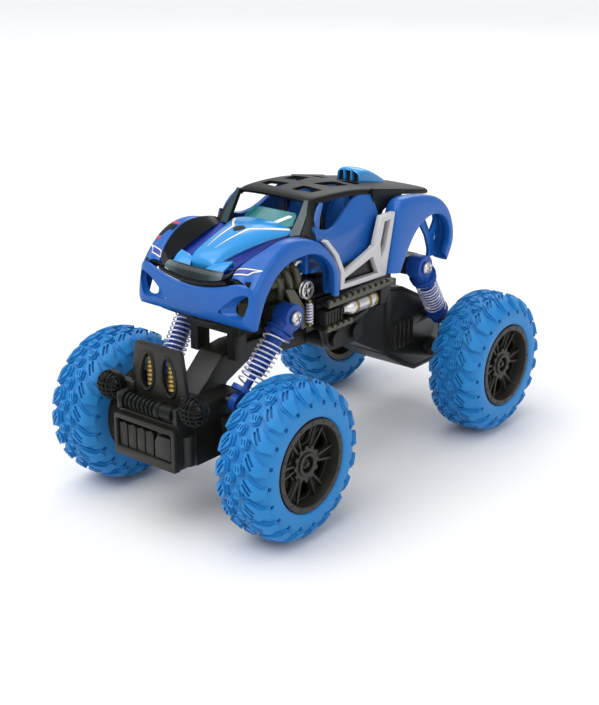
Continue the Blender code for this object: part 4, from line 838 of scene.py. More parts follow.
def build_rims(sizes):
    """A deep six-spoked rim with a bolted ring, about the origin with its face towards +X."""
    x_axis = (1, 0, 0)
    barrel = turned("barrel", (0, 0, 0), x_axis,
                    [(18.5, -10.8), (18.5, 12.1), (18.2, 12.35), (16.5, 12.35), (16.2, 12.1), (16.0, 11.2),
                     (15.6, 9.6), (15.3, 6.0), (15.3, 2.0), (15.3, -3.0), (15.6, -10.4), (17.0, -11.1),
                     (18.2, -11.1), (18.5, -10.8)], 72)
    windows = []
    for i in range(6):
        middle = math.tau * (i + 0.5) / 6
        corners = [(8.0, -0.17), (10.2, -0.34), (14.0, -0.33), (14.9, -0.20), (14.9, 0.20), (14.0, 0.33),
                   (10.2, 0.34), (8.0, 0.17)]
        windows.append(rounded([(r * math.cos(middle + a), r * math.sin(middle + a)) for r, a in corners],
                               1.2))
    disc = plate("disc", "YZ", circle(15.5, 72), 5.4, 7.4, windows, bevel=0.25)
    parts = [barrel, disc]
    for i in range(6):
        angle = math.tau * i / 6
        out = Vector((0, math.cos(angle), math.sin(angle)))
        across = Vector((0, -math.sin(angle), math.cos(angle)))
        for sign in (-1, 1):
            start = Vector((8.3, 0, 0)) + out * 6.4 + across * sign * 0.9
            end = Vector((8.9, 0, 0)) + out * 15.3 + across * sign * 2.5
            parts.append(tube("rib", [start, (start + end) / 2, end], 0.62, 1, smooth_path=False))
    for i in range(6):
        middle = math.tau * (i + 0.5) / 6
        start = Vector((2.2, 8.2 * math.cos(middle - 0.25), 8.2 * math.sin(middle - 0.25)))
        end = Vector((2.2, 14.6 * math.cos(middle + 0.2), 14.6 * math.sin(middle + 0.2)))
        parts.append(tube("brace", [start, (start + end) / 2, end], 0.35, 1, smooth_path=False))
    teeth = []
    for i in range(24):
        radius = 6.3 if i % 2 else 7.4
        for edge in (-0.42, 0.42):
            angle = math.tau * (i + edge) / 24
            teeth.append((radius * math.cos(angle), radius * math.sin(angle)))
    parts.append(plate("notched_ring", "YZ", teeth, 7.2, 9.4, [circle(4.4, 36)], bevel=0.12))
    parts.append(turned("hub", (0, 0, 0), x_axis, [
        (4.7, 6.0), (4.7, 9.9), (4.3, 10.2), (3.5, 10.2), (3.2, 9.9), (3.2, 7.6), (0.0, 7.6)], 48))
    parts.append(turned("back", (0, 0, 0), x_axis, [(0.0, 1.8), (15.4, 1.8), (15.4, 0.6), (0.0, 0.6)], 48))
    bolt = bar("bolt", (12.2, 17.35, 0), (12.6, 17.35, 0), 0.52, 6, tip=0.4)
    for i in range(sizes.bead_bolts):
        parts.append(copied(bolt, "bolt", Matrix.Rotation(math.tau * i / sizes.bead_bolts, 4, "X")))
    bpy.data.objects.remove(bolt)
    rim = joined("rim", parts)
    nut = joined("nut",
                 [bar("hex", (7.6, 0, 0), (9.2, 0, 0), 2.1, 6, 0.25),
                  bar("stub", (9.0, 0, 0), (9.9, 0, 0), 1.1, 20, 0.2)])
    for end, side in CORNERS:
        node = f"rim_{end}_{side}"
        centre = middle_mm(f"tyre_{end}_{side}")
        place = Matrix.Translation(centre * MM)
        if side == "right":
            place = place @ MIRROR
        wheel = "rear_wheels" if end == "rear" else f"front_wheel_{side}"
        dress(copied(rim, f"spoked_rim_{end}_{side}", place), "rim", wheel, "rim_black", node)
        dress(copied(nut, f"wheel_nut_{end}_{side}", place), "black", wheel, "screw_steel")
    bpy.data.objects.remove(rim)
    bpy.data.objects.remove(nut)


# ---------------------------------------------------------------- shocks

CAP_TO_SEAT = 9.3       # from the screw down to the spring's upper end
SPRING_END = 32.6       # and to its lower end
COIL_RADIUS = 4.75


def shock_line(end, side):
    """The screw's place and the direction down the shock."""
    top = joint_place(f"shock_{end}_{side}_swing")
    down = -Vector(JOINTS[f"shock_{end}_{side}_slide"]["axis"])
    return top, down.normalized()


def build_shocks(sizes):
    """Each shock's capped body, its foot and its coil."""
    for end, side in CORNERS:
        top, down = shock_line(end, side)
        corner = f"{end}_{side}"
        place = axis_matrix(top, down)
        cap = rounded_copy(f"shock_cap_{corner}", f"shock_body_{corner}", 0.45)
        extras = []
        for start, stop, radius in ((6.0, 6.9, 6.15), (8.2, 9.1, 5.9)):
            flange = turned("flange", (0, 0, 0), (0, 0, 1), [
                (3.0, start), (radius - 0.3, start), (radius, start + 0.25), (radius, stop - 0.25),
                (radius - 0.3, stop), (3.0, stop), (3.0, start)], 40)
            flange.data.transform(place)
            extras.append(flange)
        for i in range(4):
            rib = block("groove", (-0.35, 2.9, 10.5), (0.35, 3.45, 25.0), 0.15)
            rib.data.transform(place @ Matrix.Rotation(math.tau * (i + 0.5) / 4, 4, "Z"))
            extras.append(rib)
        cap = smoothed(joined(cap.name, [cap] + extras), 40)
        dress(cap, "shock", f"shock_upper_{corner}", "shock_blue", f"shock_cap_{corner}")
        rod = smoothed(rounded_copy(f"shock_rod_{corner}", f"shock_foot_{corner}", 0.3), 40)
        dress(rod, "shock", f"shock_lower_{corner}", "shock_blue", f"shock_rod_{corner}")
        turns, steps = sizes.coil_turns, 14
        wire = sizes.wire_radius / MM
        low, high = CAP_TO_SEAT + wire, SPRING_END - wire
        points = []
        for i in range(int(turns * steps) + 1):
            share = i / (turns * steps)
            flat = ease(share, 0.0, 0.10) * 0.06 + ease(share, 0.90, 1.0) * 0.06 + share * 0.88
            angle = math.tau * turns * share
            points.append((COIL_RADIUS * math.cos(angle), COIL_RADIUS * math.sin(angle),
                           mix(low, high, flat)))
        coil = tube(f"coil_spring_{corner}", points, wire, 1, smooth_path=False)
        coil.data.transform(place)
        dress(coil, "wire", f"shock_upper_{corner}", "spring_steel", f"spring_{corner}")
        slide = JOINTS[f"shock_{end}_{side}_slide"]
        travel = slide["range_m"][1] / MM
        keep = 1 - travel / (SPRING_END - CAP_TO_SEAT)
        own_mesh(coil)


def build_screws():
    """The cross-head screw through the top of each shock."""
    for end, side in CORNERS:
        node = f"shock_screw_{end}_{side}"
        top, _ = shock_line(end, side)
        out = SIDES[side]
        low, high = box_mm(node)
        face = (high.x if out > 0 else low.x)
        inner = (low.x if out > 0 else high.x)
        place = axis_matrix((0, top.y, top.z), (out, 0, 0), (0, 1, 0))
        length, root = abs(face), abs(inner)
        head = turned("head", (0, 0, 0), (0, 0, 1), [
            (0.0, length - 1.8), (2.6, length - 1.8), (2.85, length - 1.5), (2.8, length - 0.9),
            (2.2, length - 0.3), (1.2, length - 0.04), (0.0, length)], 40)
        for turn in (0.0, math.pi / 2):
            cutter = block("cross", (-1.75, -0.36, length - 0.95), (1.75, 0.36, length + 1.0), 0.0)
            cutter.data.transform(Matrix.Rotation(turn + 0.35, 4, "Z"))
            cut_by(head, cutter)
        shank = turned("shank", (0, 0, 0), (0, 0, 1),
                       [(0.0, root), (1.4, root), (1.4, length - 1.5), (0.0, length - 1.5)], 24)
        screw = joined(f"cross_head_screw_{end}_{side}", [bevelled(head, 0.06, 1), shank])
        screw.data.transform(place)
        dress(smoothed(screw, 35), "steel", "chassis", "screw_steel", node)


# ---------------------------------------------------------------- front body

# (along, height) of the fender's outer edge and of its arch, from the door round to the bumper's corner
FRONT_EDGE = [
    ((-18.6, 81.3), (-22.7, 81.8)), ((-17.5, 89.6), (-22.8, 91.6)), ((-21.7, 97.2), (-25.0, 95.6)),
    ((-28.1, 104.1), (-30.5, 100.5)), ((-36.5, 108.7), (-37.5, 102.9)), ((-47.3, 110.5), (-48.4, 102.4)),
    ((-56.7, 108.4), (-56.0, 99.8)), ((-66.0, 101.8), (-61.5, 95.0)), ((-70.6, 95.0), (-65.0, 89.5)),
    ((-72.4, 87.5), (-67.2, 84.9)), ((-72.8, 82.0), (-68.6, 81.4)), ((-71.4, 79.4), (-69.4, 80.2))]
REAR_EDGE = [
    ((15.2, 82.5), (23.0, 81.1)), ((17.3, 93.0), (27.0, 88.0)), ((19.4, 103.5), (31.5, 94.4)),
    ((21.5, 113.2), (35.5, 98.0)), ((33.0, 112.8), (40.6, 101.0)), ((45.5, 111.1), (47.4, 102.5)),
    ((54.0, 108.0), (53.5, 100.8)), ((60.0, 102.5), (57.5, 97.7)), ((63.3, 95.8), (60.0, 92.5)),
    ((65.2, 87.0), (59.5, 87.2)), ((59.5, 78.6), (56.6, 82.4))]
# how the side wall swells from arch to outer edge, as (distance across, share of the way out)
FENDER_WALL = [(28.4, 0.0), (30.4, 0.0), (30.9, 0.06), (31.0, 0.45), (30.6, 0.80), (29.6, 0.96)]


def fender_side(edge, crown):
    """Rows of points over a fender: in at the arch, up the side wall, then over the crown."""
    rows = []
    for x, share in FENDER_WALL:
        rows.append([(x, mix(a[0], o[0], share), mix(a[1], o[1], share)) for o, a in edge])
    for x, drop in crown:
        row = []
        for o, a in edge:
            inward = (Vector(a) - Vector(o)).normalized() * drop
            row.append((x, o[0] + inward.x, o[1] + inward.y))
        rows.append(row)
    return rows


def build_front_fenders(sizes):
    """Each front fender with its half of the bumper, drawn as one skin, then mirrored."""
    rows = fender_side(FRONT_EDGE, [(27.6, 0.0), (25.6, 0.0), (24.3, 0.3), (23.8, 1.4), (23.7, 3.6)])
    # the front corner of the crown reaches down and in to the headlight
    for row, places in ((8, {7: (21.4, -67.6, 103.4), 8: (21.0, -71.0, 98.9)}),
                        (7, {7: (24.6, -67.3, 102.9), 8: (24.6, -71.2, 98.2)}),
                        (9, {7: (19.5, -67.6, 103.2), 8: (18.6, -71.2, 98.3)}),
                        (10, {7: (19.4, -66.0, 101.5), 8: (18.8, -69.5, 97.0)})):
        for station, place in places.items():
            rows[row][station] = place
    crown = sheet_of("crown", [row[:9] for row in rows])
    # from the headlight down: a skin from the arch right across the bumper to its middle
    top = {28.3: (-71.2, 96.6), 24.6: (-71.9, 97.6), 20.0: (-72.2, 96.1), 14.0: (-72.5, 94.1),
           7.0: (-72.7, 92.8), 0.0: (-72.8, 92.3)}
    low_rows = fender_side(FRONT_EDGE[8:], [])
    for x, (y, z) in top.items():
        flat = 0.6 * (1 - x / 31.0)
        low_rows.append([(x, y, z), (x, y - 0.9, z - 1.0), (x, y - 0.75, z - 2.0), (x, -73.0 - flat, 87.0),
                         (x, -73.2 - flat * 0.6, 82.2), (x, -72.2 - flat, 79.6), (x, -70.4, 79.2)])
    for row in low_rows[:len(FENDER_WALL)]:
        # the same seven heights as the bumper's rows
        a, b, c, d = (Vector(point) for point in row)
        row[:] = [tuple(p) for p in (a, a.lerp(b, 0.2), a.lerp(b, 0.4), a.lerp(b, 0.95), b.lerp(c, 0.9),
                                     c.lerp(d, 0.8), d)]
    front = sheet_of("front", low_rows)
    skin = joined("front_fenders", [crown, front])
    skin = with_mirror(merged(skin, 0.5))
    consistent(skin, 0.3)
    face_outwards(skin, (0, -45, 60))
    subdivided(skin, 2)
    walled(skin, sizes.panel_wall / MM)
    for side in (1, -1):
        hole = plate("intake", "XZ",
                     rounded([(side * 13.4, 84.3), (side * 17.4, 88.1), (side * 22.2, 91.9),
                              (side * 26.4, 93.6), (side * 28.4, 93.2), (side * 28.6, 90.0),
                              (side * 27.1, 85.4), (side * 25.6, 83.3), (side * 20.0, 83.5)], 0.8), -80, -66)
        cut_by(skin, hole)
    smoothed(skin, 32)
    dress(skin, "paint", "chassis", "body_blue", "body_shell")
    build_intakes()


def build_intakes():
    """A funnel in each side of the bumper: flat and pointed towards the middle, open at its outer end."""
    rim = [(12.9, -72.9, 84.2), (17.1, -72.8, 88.4), (22.0, -72.6, 92.3), (26.5, -72.0, 94.0),
           (28.7, -71.0, 93.6), (28.9, -71.4, 90.0), (27.4, -72.2, 85.1), (25.9, -72.5, 82.9),
           (20.0, -72.8, 83.1)]
    hole = [(20.4, -70.4, 85.6), (20.6, -70.2, 87.4), (22.4, -70.0, 90.0), (26.0, -69.6, 92.4),
            (27.9, -69.4, 92.7), (28.2, -69.6, 90.0), (26.9, -70.0, 85.6), (25.4, -70.2, 83.6),
            (21.2, -70.4, 84.0)]
    pairs = [rim, [tuple(Vector(a).lerp(Vector(b), 0.12)) for a, b in zip(rim, hole)],
             [tuple(Vector(a).lerp(Vector(b), 0.55)) for a, b in zip(rim, hole)], hole]
    funnel = panel("intake_funnels", [row + row[:1] for row in pairs], (22, -60, 88), 1, 0.5)
    dress(smoothed(with_mirror(funnel), 50), "paint", "chassis", "body_blue")


HOOD = {
    -31.0: [(0, 110.5), (6, 110.3), (12, 109.4), (16.4, 108), (16.6, 107.1)],
    -35.0: [(0, 110.5), (6, 110.2), (11.6, 109.2), (15.4, 107.6), (15.7, 106.7)],
    -40.0: [(0, 110.3), (5, 110), (10, 108.9), (13.2, 107), (13.4, 106.1)],
    -46.0: [(0, 109.5), (4.8, 109.2), (8.8, 108), (11.4, 106), (11.7, 105.1)],
    -53.0: [(0, 108), (4.5, 107.7), (7.8, 106.6), (9.8, 104.7), (10.1, 103.8)],
    -59.0: [(0, 106.1), (4, 105.9), (6.8, 105), (8.6, 103.2), (8.8, 102.3)],
    -63.6: [(0, 104.3), (3.8, 104.2), (6.3, 103.5), (7.7, 102), (8, 101.1)],
    -66.3: [(0, 102.2), (3.5, 102), (5.6, 101.3), (6.7, 100.2), (6.9, 98.8)],
    -67.3: [(0, 100), (3.3, 99.9), (5, 99.5), (5.9, 98.8), (6, 98)],
    -67.1: [(0, 98), (3.2, 98), (4.8, 97.9), (5.6, 97.8), (5.7, 97.4)],
}


def build_hood():
    """The lighter blue tongue from the windscreen to the nose."""
    rows = [[(x, y, z) for x, z in section] for y, section in HOOD.items()]
    skin = panel("hood_tongue", rows, (0, -50, 60), 3, 0.9, 0.3, True)
    dress(smoothed(skin, 40), "hood", "chassis", "body_blue")


def build_channels():
    """The shaded channels between hood and fenders, and the light facets at each side of the nose."""
    rows = [
        [(16.5, -31, 107.4), (16.9, -31, 106.4), (19.0, -31, 106.0), (22.5, -31, 107.0)],
        [(13.3, -38, 106.9), (13.9, -38, 104.8), (17.0, -38, 104.0), (22.0, -38, 105.4)],
        [(11.4, -46, 105.5), (12.1, -46, 102.8), (15.6, -46, 101.6), (21.6, -46, 103.4)],
        [(9.7, -54, 103.9), (10.4, -54, 100.8), (14.4, -54, 99.8), (20.9, -54, 101.6)],
        [(8.3, -61, 102.0), (8.9, -61, 99.6), (13.6, -61, 98.8), (19.6, -61, 99.8)],
        [(6.0, -67, 97.9), (6.4, -67, 97.7), (12.6, -66.5, 97.6), (17.5, -66.5, 98.0)],
    ]
    channel = panel("hood_channels", rows, (15, -50, 60), 2, 0.7)
    dress(smoothed(with_mirror(channel)), "violet", "chassis", "body_blue")
    facets = panel("nose_facets", [
        [(4.0, -69.4, 98.8), (7.4, -69.5, 98.8), (13.1, -69.5, 99.2)],
        [(5.0, -67.6, 100.0), (8.0, -66.8, 100.6), (13.6, -66.4, 101.3)],
        [(5.6, -66.2, 100.4), (8.4, -64.2, 101.4), (13.7, -63.7, 102.5)],
        [(6.4, -66.0, 98.6), (8.6, -63.6, 99.0), (13.4, -62.6, 99.8)]], (9, -64, 60), 0, 0.8)
    bevelled(facets, 0.2, 2)
    dress(smoothed(with_mirror(facets)), "hood", "chassis", "body_blue")


# (across, along, height) down one side of the black bow, at its upper and lower edge
BAND_TOP = [(24.8, -31.8, 108.0), (24.5, -38.0, 109.3), (24.3, -46.0, 110.0), (23.9, -54.0, 108.7),
            (22.4, -61.0, 105.7), (19.8, -67.2, 103.2), (18.5, -70.9, 99.4), (16.4, -72.0, 97.4),
            (11.0, -72.7, 95.6), (5.0, -73.0, 94.5), (0.0, -73.1, 94.2)]
BAND_LOW = [(21.0, -32.4, 106.4), (19.8, -38.6, 105.6), (18.8, -46.0, 104.6), (17.8, -54.0, 102.6),
            (16.6, -61.0, 101.0), (15.4, -66.6, 99.4), (15.0, -70.6, 98.6), (13.8, -71.6, 98.3),
            (9.0, -71.6, 98.0), (4.5, -71.6, 97.7), (0.0, -71.7, 97.5)]


def build_grille():
    """The black bow round the nose, the smoky lens along its front and the dark lip below."""
    bow = sheet_of("grille_bow", [BAND_TOP, [tuple((Vector(a) + Vector(b)) / 2 + Vector((-0.5, 0, -0.4)))
                                             for a, b in zip(BAND_TOP, BAND_LOW)], BAND_LOW])
    consistent(bow)
    bow = with_mirror(bow)
    consistent(bow, 0.2)
    face_outwards(bow, (0, -20, 60))
    walled(subdivided(bow, 2), 1.0)
    dress(smoothed(bow, 50), "gloss", "chassis", "cage_black", "grille_band")
    lens_rows = [
        [(14.2, -69.6, 99.6), (9.0, -69.7, 99.3), (4.5, -69.9, 99.2), (0.0, -70.0, 99.2)],
        [(14.6, -70.6, 99.4), (9.2, -70.9, 98.9), (4.6, -71.1, 98.7), (0.0, -71.2, 98.7)],
        [(14.9, -71.8, 98.2), (9.3, -72.3, 97.2), (4.6, -72.5, 96.8), (0.0, -72.6, 96.6)],
        [(15.2, -72.2, 96.9), (9.4, -72.6, 95.8), (4.7, -72.8, 95.3), (0.0, -72.9, 95.1)]]
    lens = panel("smoky_lens", lens_rows, (0, -50, 90), 2, 0.6, 0.2, True)
    dress(smoothed(lens, 50), "smoke", "chassis", "cage_black")
    lip_rows = [
        [(17.4, -72.3, 97.6), (12.0, -72.9, 95.9), (6.0, -73.2, 94.9), (0.0, -73.3, 94.6)],
        [(17.8, -73.0, 96.4), (12.0, -73.3, 94.9), (6.0, -73.5, 94.0), (0.0, -73.6, 93.7)],
        [(18.0, -72.2, 95.2), (12.0, -72.5, 93.8), (6.0, -72.7, 92.8), (0.0, -72.8, 92.5)]]
    lip = panel("nose_lip", lip_rows, (0, -50, 90), 2, 0.8, 0.2, True)
    dress(smoothed(lip, 50), "gloss", "chassis", "cage_black")
    slot = block("headlight_slots", (17.5, -70.6, 95.6), (27.4, -64.0, 98.0), 0.3)
    dress(with_mirror(slot), "gloss", "chassis", "cage_black")
    pan = panel("nose_underplate", [
        [(0, -72.0, 79.9), (10, -71.9, 79.9), (20, -71.6, 80.0), (24, -71.0, 80.0)],
        [(0, -70.6, 77.0), (10, -70.4, 77.0), (19, -69.6, 77.2), (21.4, -68.4, 78.2)],
        [(0, -60.0, 76.4), (10, -60.0, 76.4), (17, -60.0, 76.8), (19, -60.0, 78.0)]], (0, -64, 90), 1, 0.9)
    dress(smoothed(with_mirror(pan), 40), "black", "chassis", "chassis_black")


# ---------------------------------------------------------------- printed graphics

def print_and_glint_sheet(name, outline, target, lift=0.07):
    """A thin sheet, for print and for the screen's painted glint: an outline in space, filled, divided and laid
    on the nearest painted panel.
    """
    mesh = bpy.data.meshes.new(name)
    mesh.from_pydata([mm(*point) for point in outline], [], [tuple(range(len(outline)))])
    piece = linked(name, mesh)
    edited(piece, bpy.ops.mesh.quads_convert_to_tris, lambda: bpy.ops.mesh.subdivide(number_cuts=5))
    target = bpy.data.objects[target]
    tree = BVHTree.FromPolygons([v.co for v in target.data.vertices],
                                [tuple(p.vertices) for p in target.data.polygons])
    for vertex in piece.data.vertices:
        spot, normal, _, _ = tree.find_nearest(vertex.co)
        if spot is not None:
            vertex.co = spot + normal * lift * MM
    return piece


def ribbon(points, half_width, across):
    """The outline of a line of points widened by half_width, given at each point, in a direction."""
    side = Vector(across)
    left = [tuple(Vector(p) + side * w) for p, w in zip(points, half_width)]
    right = [tuple(Vector(p) - side * w) for p, w in zip(points, half_width)]
    return left + right[::-1]


def crown_height(y):
    """A height a little above the front fenders' crown."""
    low, high = (-66.0, 101.8), (-47.3, 110.5)
    return mix(low[1], high[1], ease(y, low[0], high[0])) + 1.5


def build_graphics():
    """The hood's lines and badge, the headlights' outlines, and the far fender's stripes and block."""
    stripes = []
    for side in (1, -1):
        for a, b, wa, wb in (((3.6, -44.4, 109.2), (14.8, -31.6, 108.6), 0.5, 0.8),
                             ((3.9, -44.2, 109.2), (2.0, -61.5, 105.4), 0.62, 0.08)):
            points = [tuple(Vector(a).lerp(Vector(b), t / 6)) for t in range(7)]
            widths = [mix(wa, wb, t / 6) for t in range(7)]
            points = [(side * x, y, z) for x, y, z in points]
            direction = (0.7 * side, -0.7, 0) if b[1] > a[1] else (1, 0, 0)
            stripes.append(print_and_glint_sheet("stripe", ribbon(points, widths, direction), "hood_tongue"))
    dress(joined("hood_pinstripes", stripes), "cream", "chassis", "body_blue")
    shield = [(0, -42.6), (1.7, -43.3), (2.5, -44.6), (1.9, -46.8), (0, -48.4), (-1.9, -46.8), (-2.5, -44.6),
              (-1.7, -43.3)]
    badge = print_and_glint_sheet("hood_badge", [(x, y, 109.6) for x, y in shield], "hood_tongue", 0.16)
    walled(badge, 0.25, 1)
    dress(badge, "gloss", "chassis", "cage_black")
    frames, fills = [], []
    for side in (1, -1):
        path = [(19.1, -70.3, 99.7), (20.0, -68.8, 101.9), (30.2, -66.3, 103.4), (27.1, -67.6, 102.0),
                (25.5, -68.8, 100.5)]
        path = [Vector((side * x, y, z)) for x, y, z in path]
        for start, end in zip(path, path[1:] + path[:1]):
            across = (end - start).cross(Vector((side * 0.25, -0.8, 0.5))).normalized()
            frames.append(print_and_glint_sheet("line", ribbon([start, end], [0.24, 0.24], across), "front_fenders", 0.1))
        middle = sum(path, Vector()) / len(path)
        fills.append(print_and_glint_sheet("fill", [tuple(point.lerp(middle, 0.12)) for point in path], "front_fenders",
                             0.06))
    dress(joined("headlight_outlines", frames), "cream", "chassis", "body_blue")
    dress(joined("headlight_fills", fills), "purple", "chassis", "body_blue")
    for name, finish, spans in (("stripe_red", "red", ((-62.6, -61.4), (-54.2, -53.0))),
                                ("block_black", "gloss", ((-60.9, -54.7),))):
        patches = []
        for first, last in spans:
            for x0, x1 in ((24.2, 26.2), (26.2, 28.2), (28.2, 30.2)):
                corners = ((x0, first), (x0, last), (x1, last), (x1, first))
                patches.append(print_and_glint_sheet("patch", [(-x, y, crown_height(y)) for x, y in corners],
                                       "front_fenders", 0.12))
        dress(joined(name, patches), finish, "chassis", "body_blue")


# ---------------------------------------------------------------- rear body and cabin

def build_rear_fenders(sizes):
    """Each rear fender with the strut inside its tail."""
    rows = fender_side(REAR_EDGE, [(28.6, 0.0), (25.6, 0.1), (23.2, 0.5), (22.5, 1.6), (22.5, 4.4)])
    skin = panel("rear_fenders", rows, (0, 40, 90), 2, sizes.panel_wall / MM, 0.05, True)
    for side in (1, -1):
        x0, x1 = sorted((side * 23.6, side * 26.4))
        cut_by(skin, block("slot", (x0, 36.5, 105), (x1, 52.0, 118), 0.0))
    dress(smoothed(skin, 38), "paint", "chassis", "body_blue", "rear_fenders")
    web = plate("tail_struts", "YZ",
                rounded([(40.5, 104.5), (44.5, 107.5), (57.5, 103.0), (60.5, 97.0), (57.0, 88.0),
                         (57.5, 80.5), (52.5, 80.2), (53.0, 84.0), (50.5, 90.5)], 1.0), 23.0, 24.4,
                [rounded([(46.5, 104.0), (56.0, 100.8), (57.0, 96.6), (53.8, 91.6)], 0.8)], bevel=0.25)
    ledge = block("fender_slot_floors", (22.9, 38.0, 107.6), (27.2, 51.0, 108.4), 0.2)
    dress(with_mirror(web), "paint", "chassis", "body_blue")
    dress(with_mirror(ledge), "gloss", "chassis", "cage_black")


ROOF_ROWS = [(-24.6, 118.9, 119.4, 18.4), (-22.6, 120.1, 120.6, 19.3), (-11.5, 120.3, 121.0, 20.0),
             (6.4, 119.6, 120.5, 20.6), (16.3, 117.4, 118.4, 21.0), (30.0, 115.3, 116.0, 21.3),
             (48.0, 112.2, 112.7, 21.3), (57.0, 110.4, 110.8, 20.2)]


def build_roof():
    """The black roof with its daylight holes, pillars and rear quarters."""
    rows = []
    for y, edge, middle, half in ROOF_ROWS:
        rows.append([(0, y, middle), (half * 0.35, y, middle), (half * 0.70, y, mix(edge, middle, 0.6)),
                     (half * 0.93, y, edge), (half, y, edge - 0.8), (half + 0.1, y, edge - 2.6)])
    roof = panel("roof_cage", rows, (0, 10, 90), 2, 1.3, 0.05, True)
    holes = [[(3.6, -17.6), (13.4, -16.2), (14.2, -10.0), (3.6, -9.4)],
             [(3.6, -3.6), (12.6, -3.0), (14.6, 7.0), (6.4, 7.6)],
             [(4.2, 12.0), (14.0, 12.6), (11.0, 19.6), (5.6, 19.0)]]
    for side in (1, -1):
        for hole in holes:
            cut_by(roof, plate("hole", "XY", rounded([(side * x, y) for x, y in hole], 1.0), 108, 126))
    smoothed(roof, 35)
    parts = []
    face_rows = [[(16.9, -25.2, 119.4), (18.6, -24.8, 119.6), (19.6, -24.2, 119.4), (20.0, -22.4, 119.2)],
                 [(16.9, -28.2, 114.6), (20.0, -27.6, 114.4), (22.4, -26.8, 114.0), (22.6, -24.6, 114.2)],
                 [(16.6, -31.6, 110.0), (20.6, -31.0, 109.8), (25.0, -29.9, 109.4), (25.0, -27.6, 110.0)],
                 [(16.4, -33.8, 106.6), (20.6, -33.2, 106.4), (26.2, -31.8, 106.2), (26.2, -29.0, 106.4)]]
    parts.append(panel("pillar", face_rows, (15, -20, 108), 1, 1.2))
    parts.append(plate("quarter", "YZ",
                       rounded([(13.2, 103.0), (17.6, 100.4), (21.0, 107.6), (34.0, 111.2), (36.0, 114.2),
                                (16.6, 117.6), (13.4, 118.2)], 1.0), 20.4, 22.3, bevel=0.3))
    parts.append(turned("boss", (22.0, 17.6, 110.0), (1, 0, 0),
                        [(0.0, 0.7), (1.2, 0.7), (1.4, 0.5), (1.9, 0.5), (2.1, 0.2), (2.1, 0.0), (0.0, 0.0)],
                        28))
    cage = joined("roof_cage", [roof, with_mirror(joined("cage_side", parts))])
    dress(smoothed(cage, 38), "cage", "chassis", "cage_black", "roof_cage")
    # a grey-teal sheet just ahead of each pillar's front face: a painted reflection on the black pillar
    ahead = Vector((0.25, -0.30, 0.12))
    painted_glint = panel("pillar_faces", [[tuple(Vector(p) + ahead) for p in row[:2]] for row in face_rows],
                  (15, -20, 108), 0, 0.25)
    dress(with_mirror(painted_glint), "slate", "chassis", "cage_black")


def build_windscreen():
    """The small tinted screen, darker towards -X and lighter towards +X as painted shade and highlight, with a
    white glint laid across it as a painted reflection.
    """
    rows = []
    for x, bow in ((0, 0.0), (4, 0.15), (8, 0.55), (11.6, 1.2), (13.2, 2.2)):
        rows.append([(x * (1 - 0.13 * t), mix(-30.4, -25.2, t) + bow,
                      mix(108.6, 113.6, t) - bow * 0.3 * t) for t in (0, 0.33, 0.66, 1.0)])
    screen = panel("tinted_windscreen", rows, (0, -10, 100), 2, 0.45, 0.05, True)
    dress(smoothed(screen, 50), "screen", "chassis", "glass_teal", "windscreen")
    # a white sheet laid across the screen: a painted reflection
    painted_glint = print_and_glint_sheet("screen_flash",
                    [(3.0, -30.6, 109.2), (5.6, -30.4, 109.2), (11.6, -26.2, 113.0), (9.6, -26.2, 113.2)],
                    "tinted_windscreen", 0.06)
    dress(painted_glint, "glint_white", "chassis", "glass_teal")


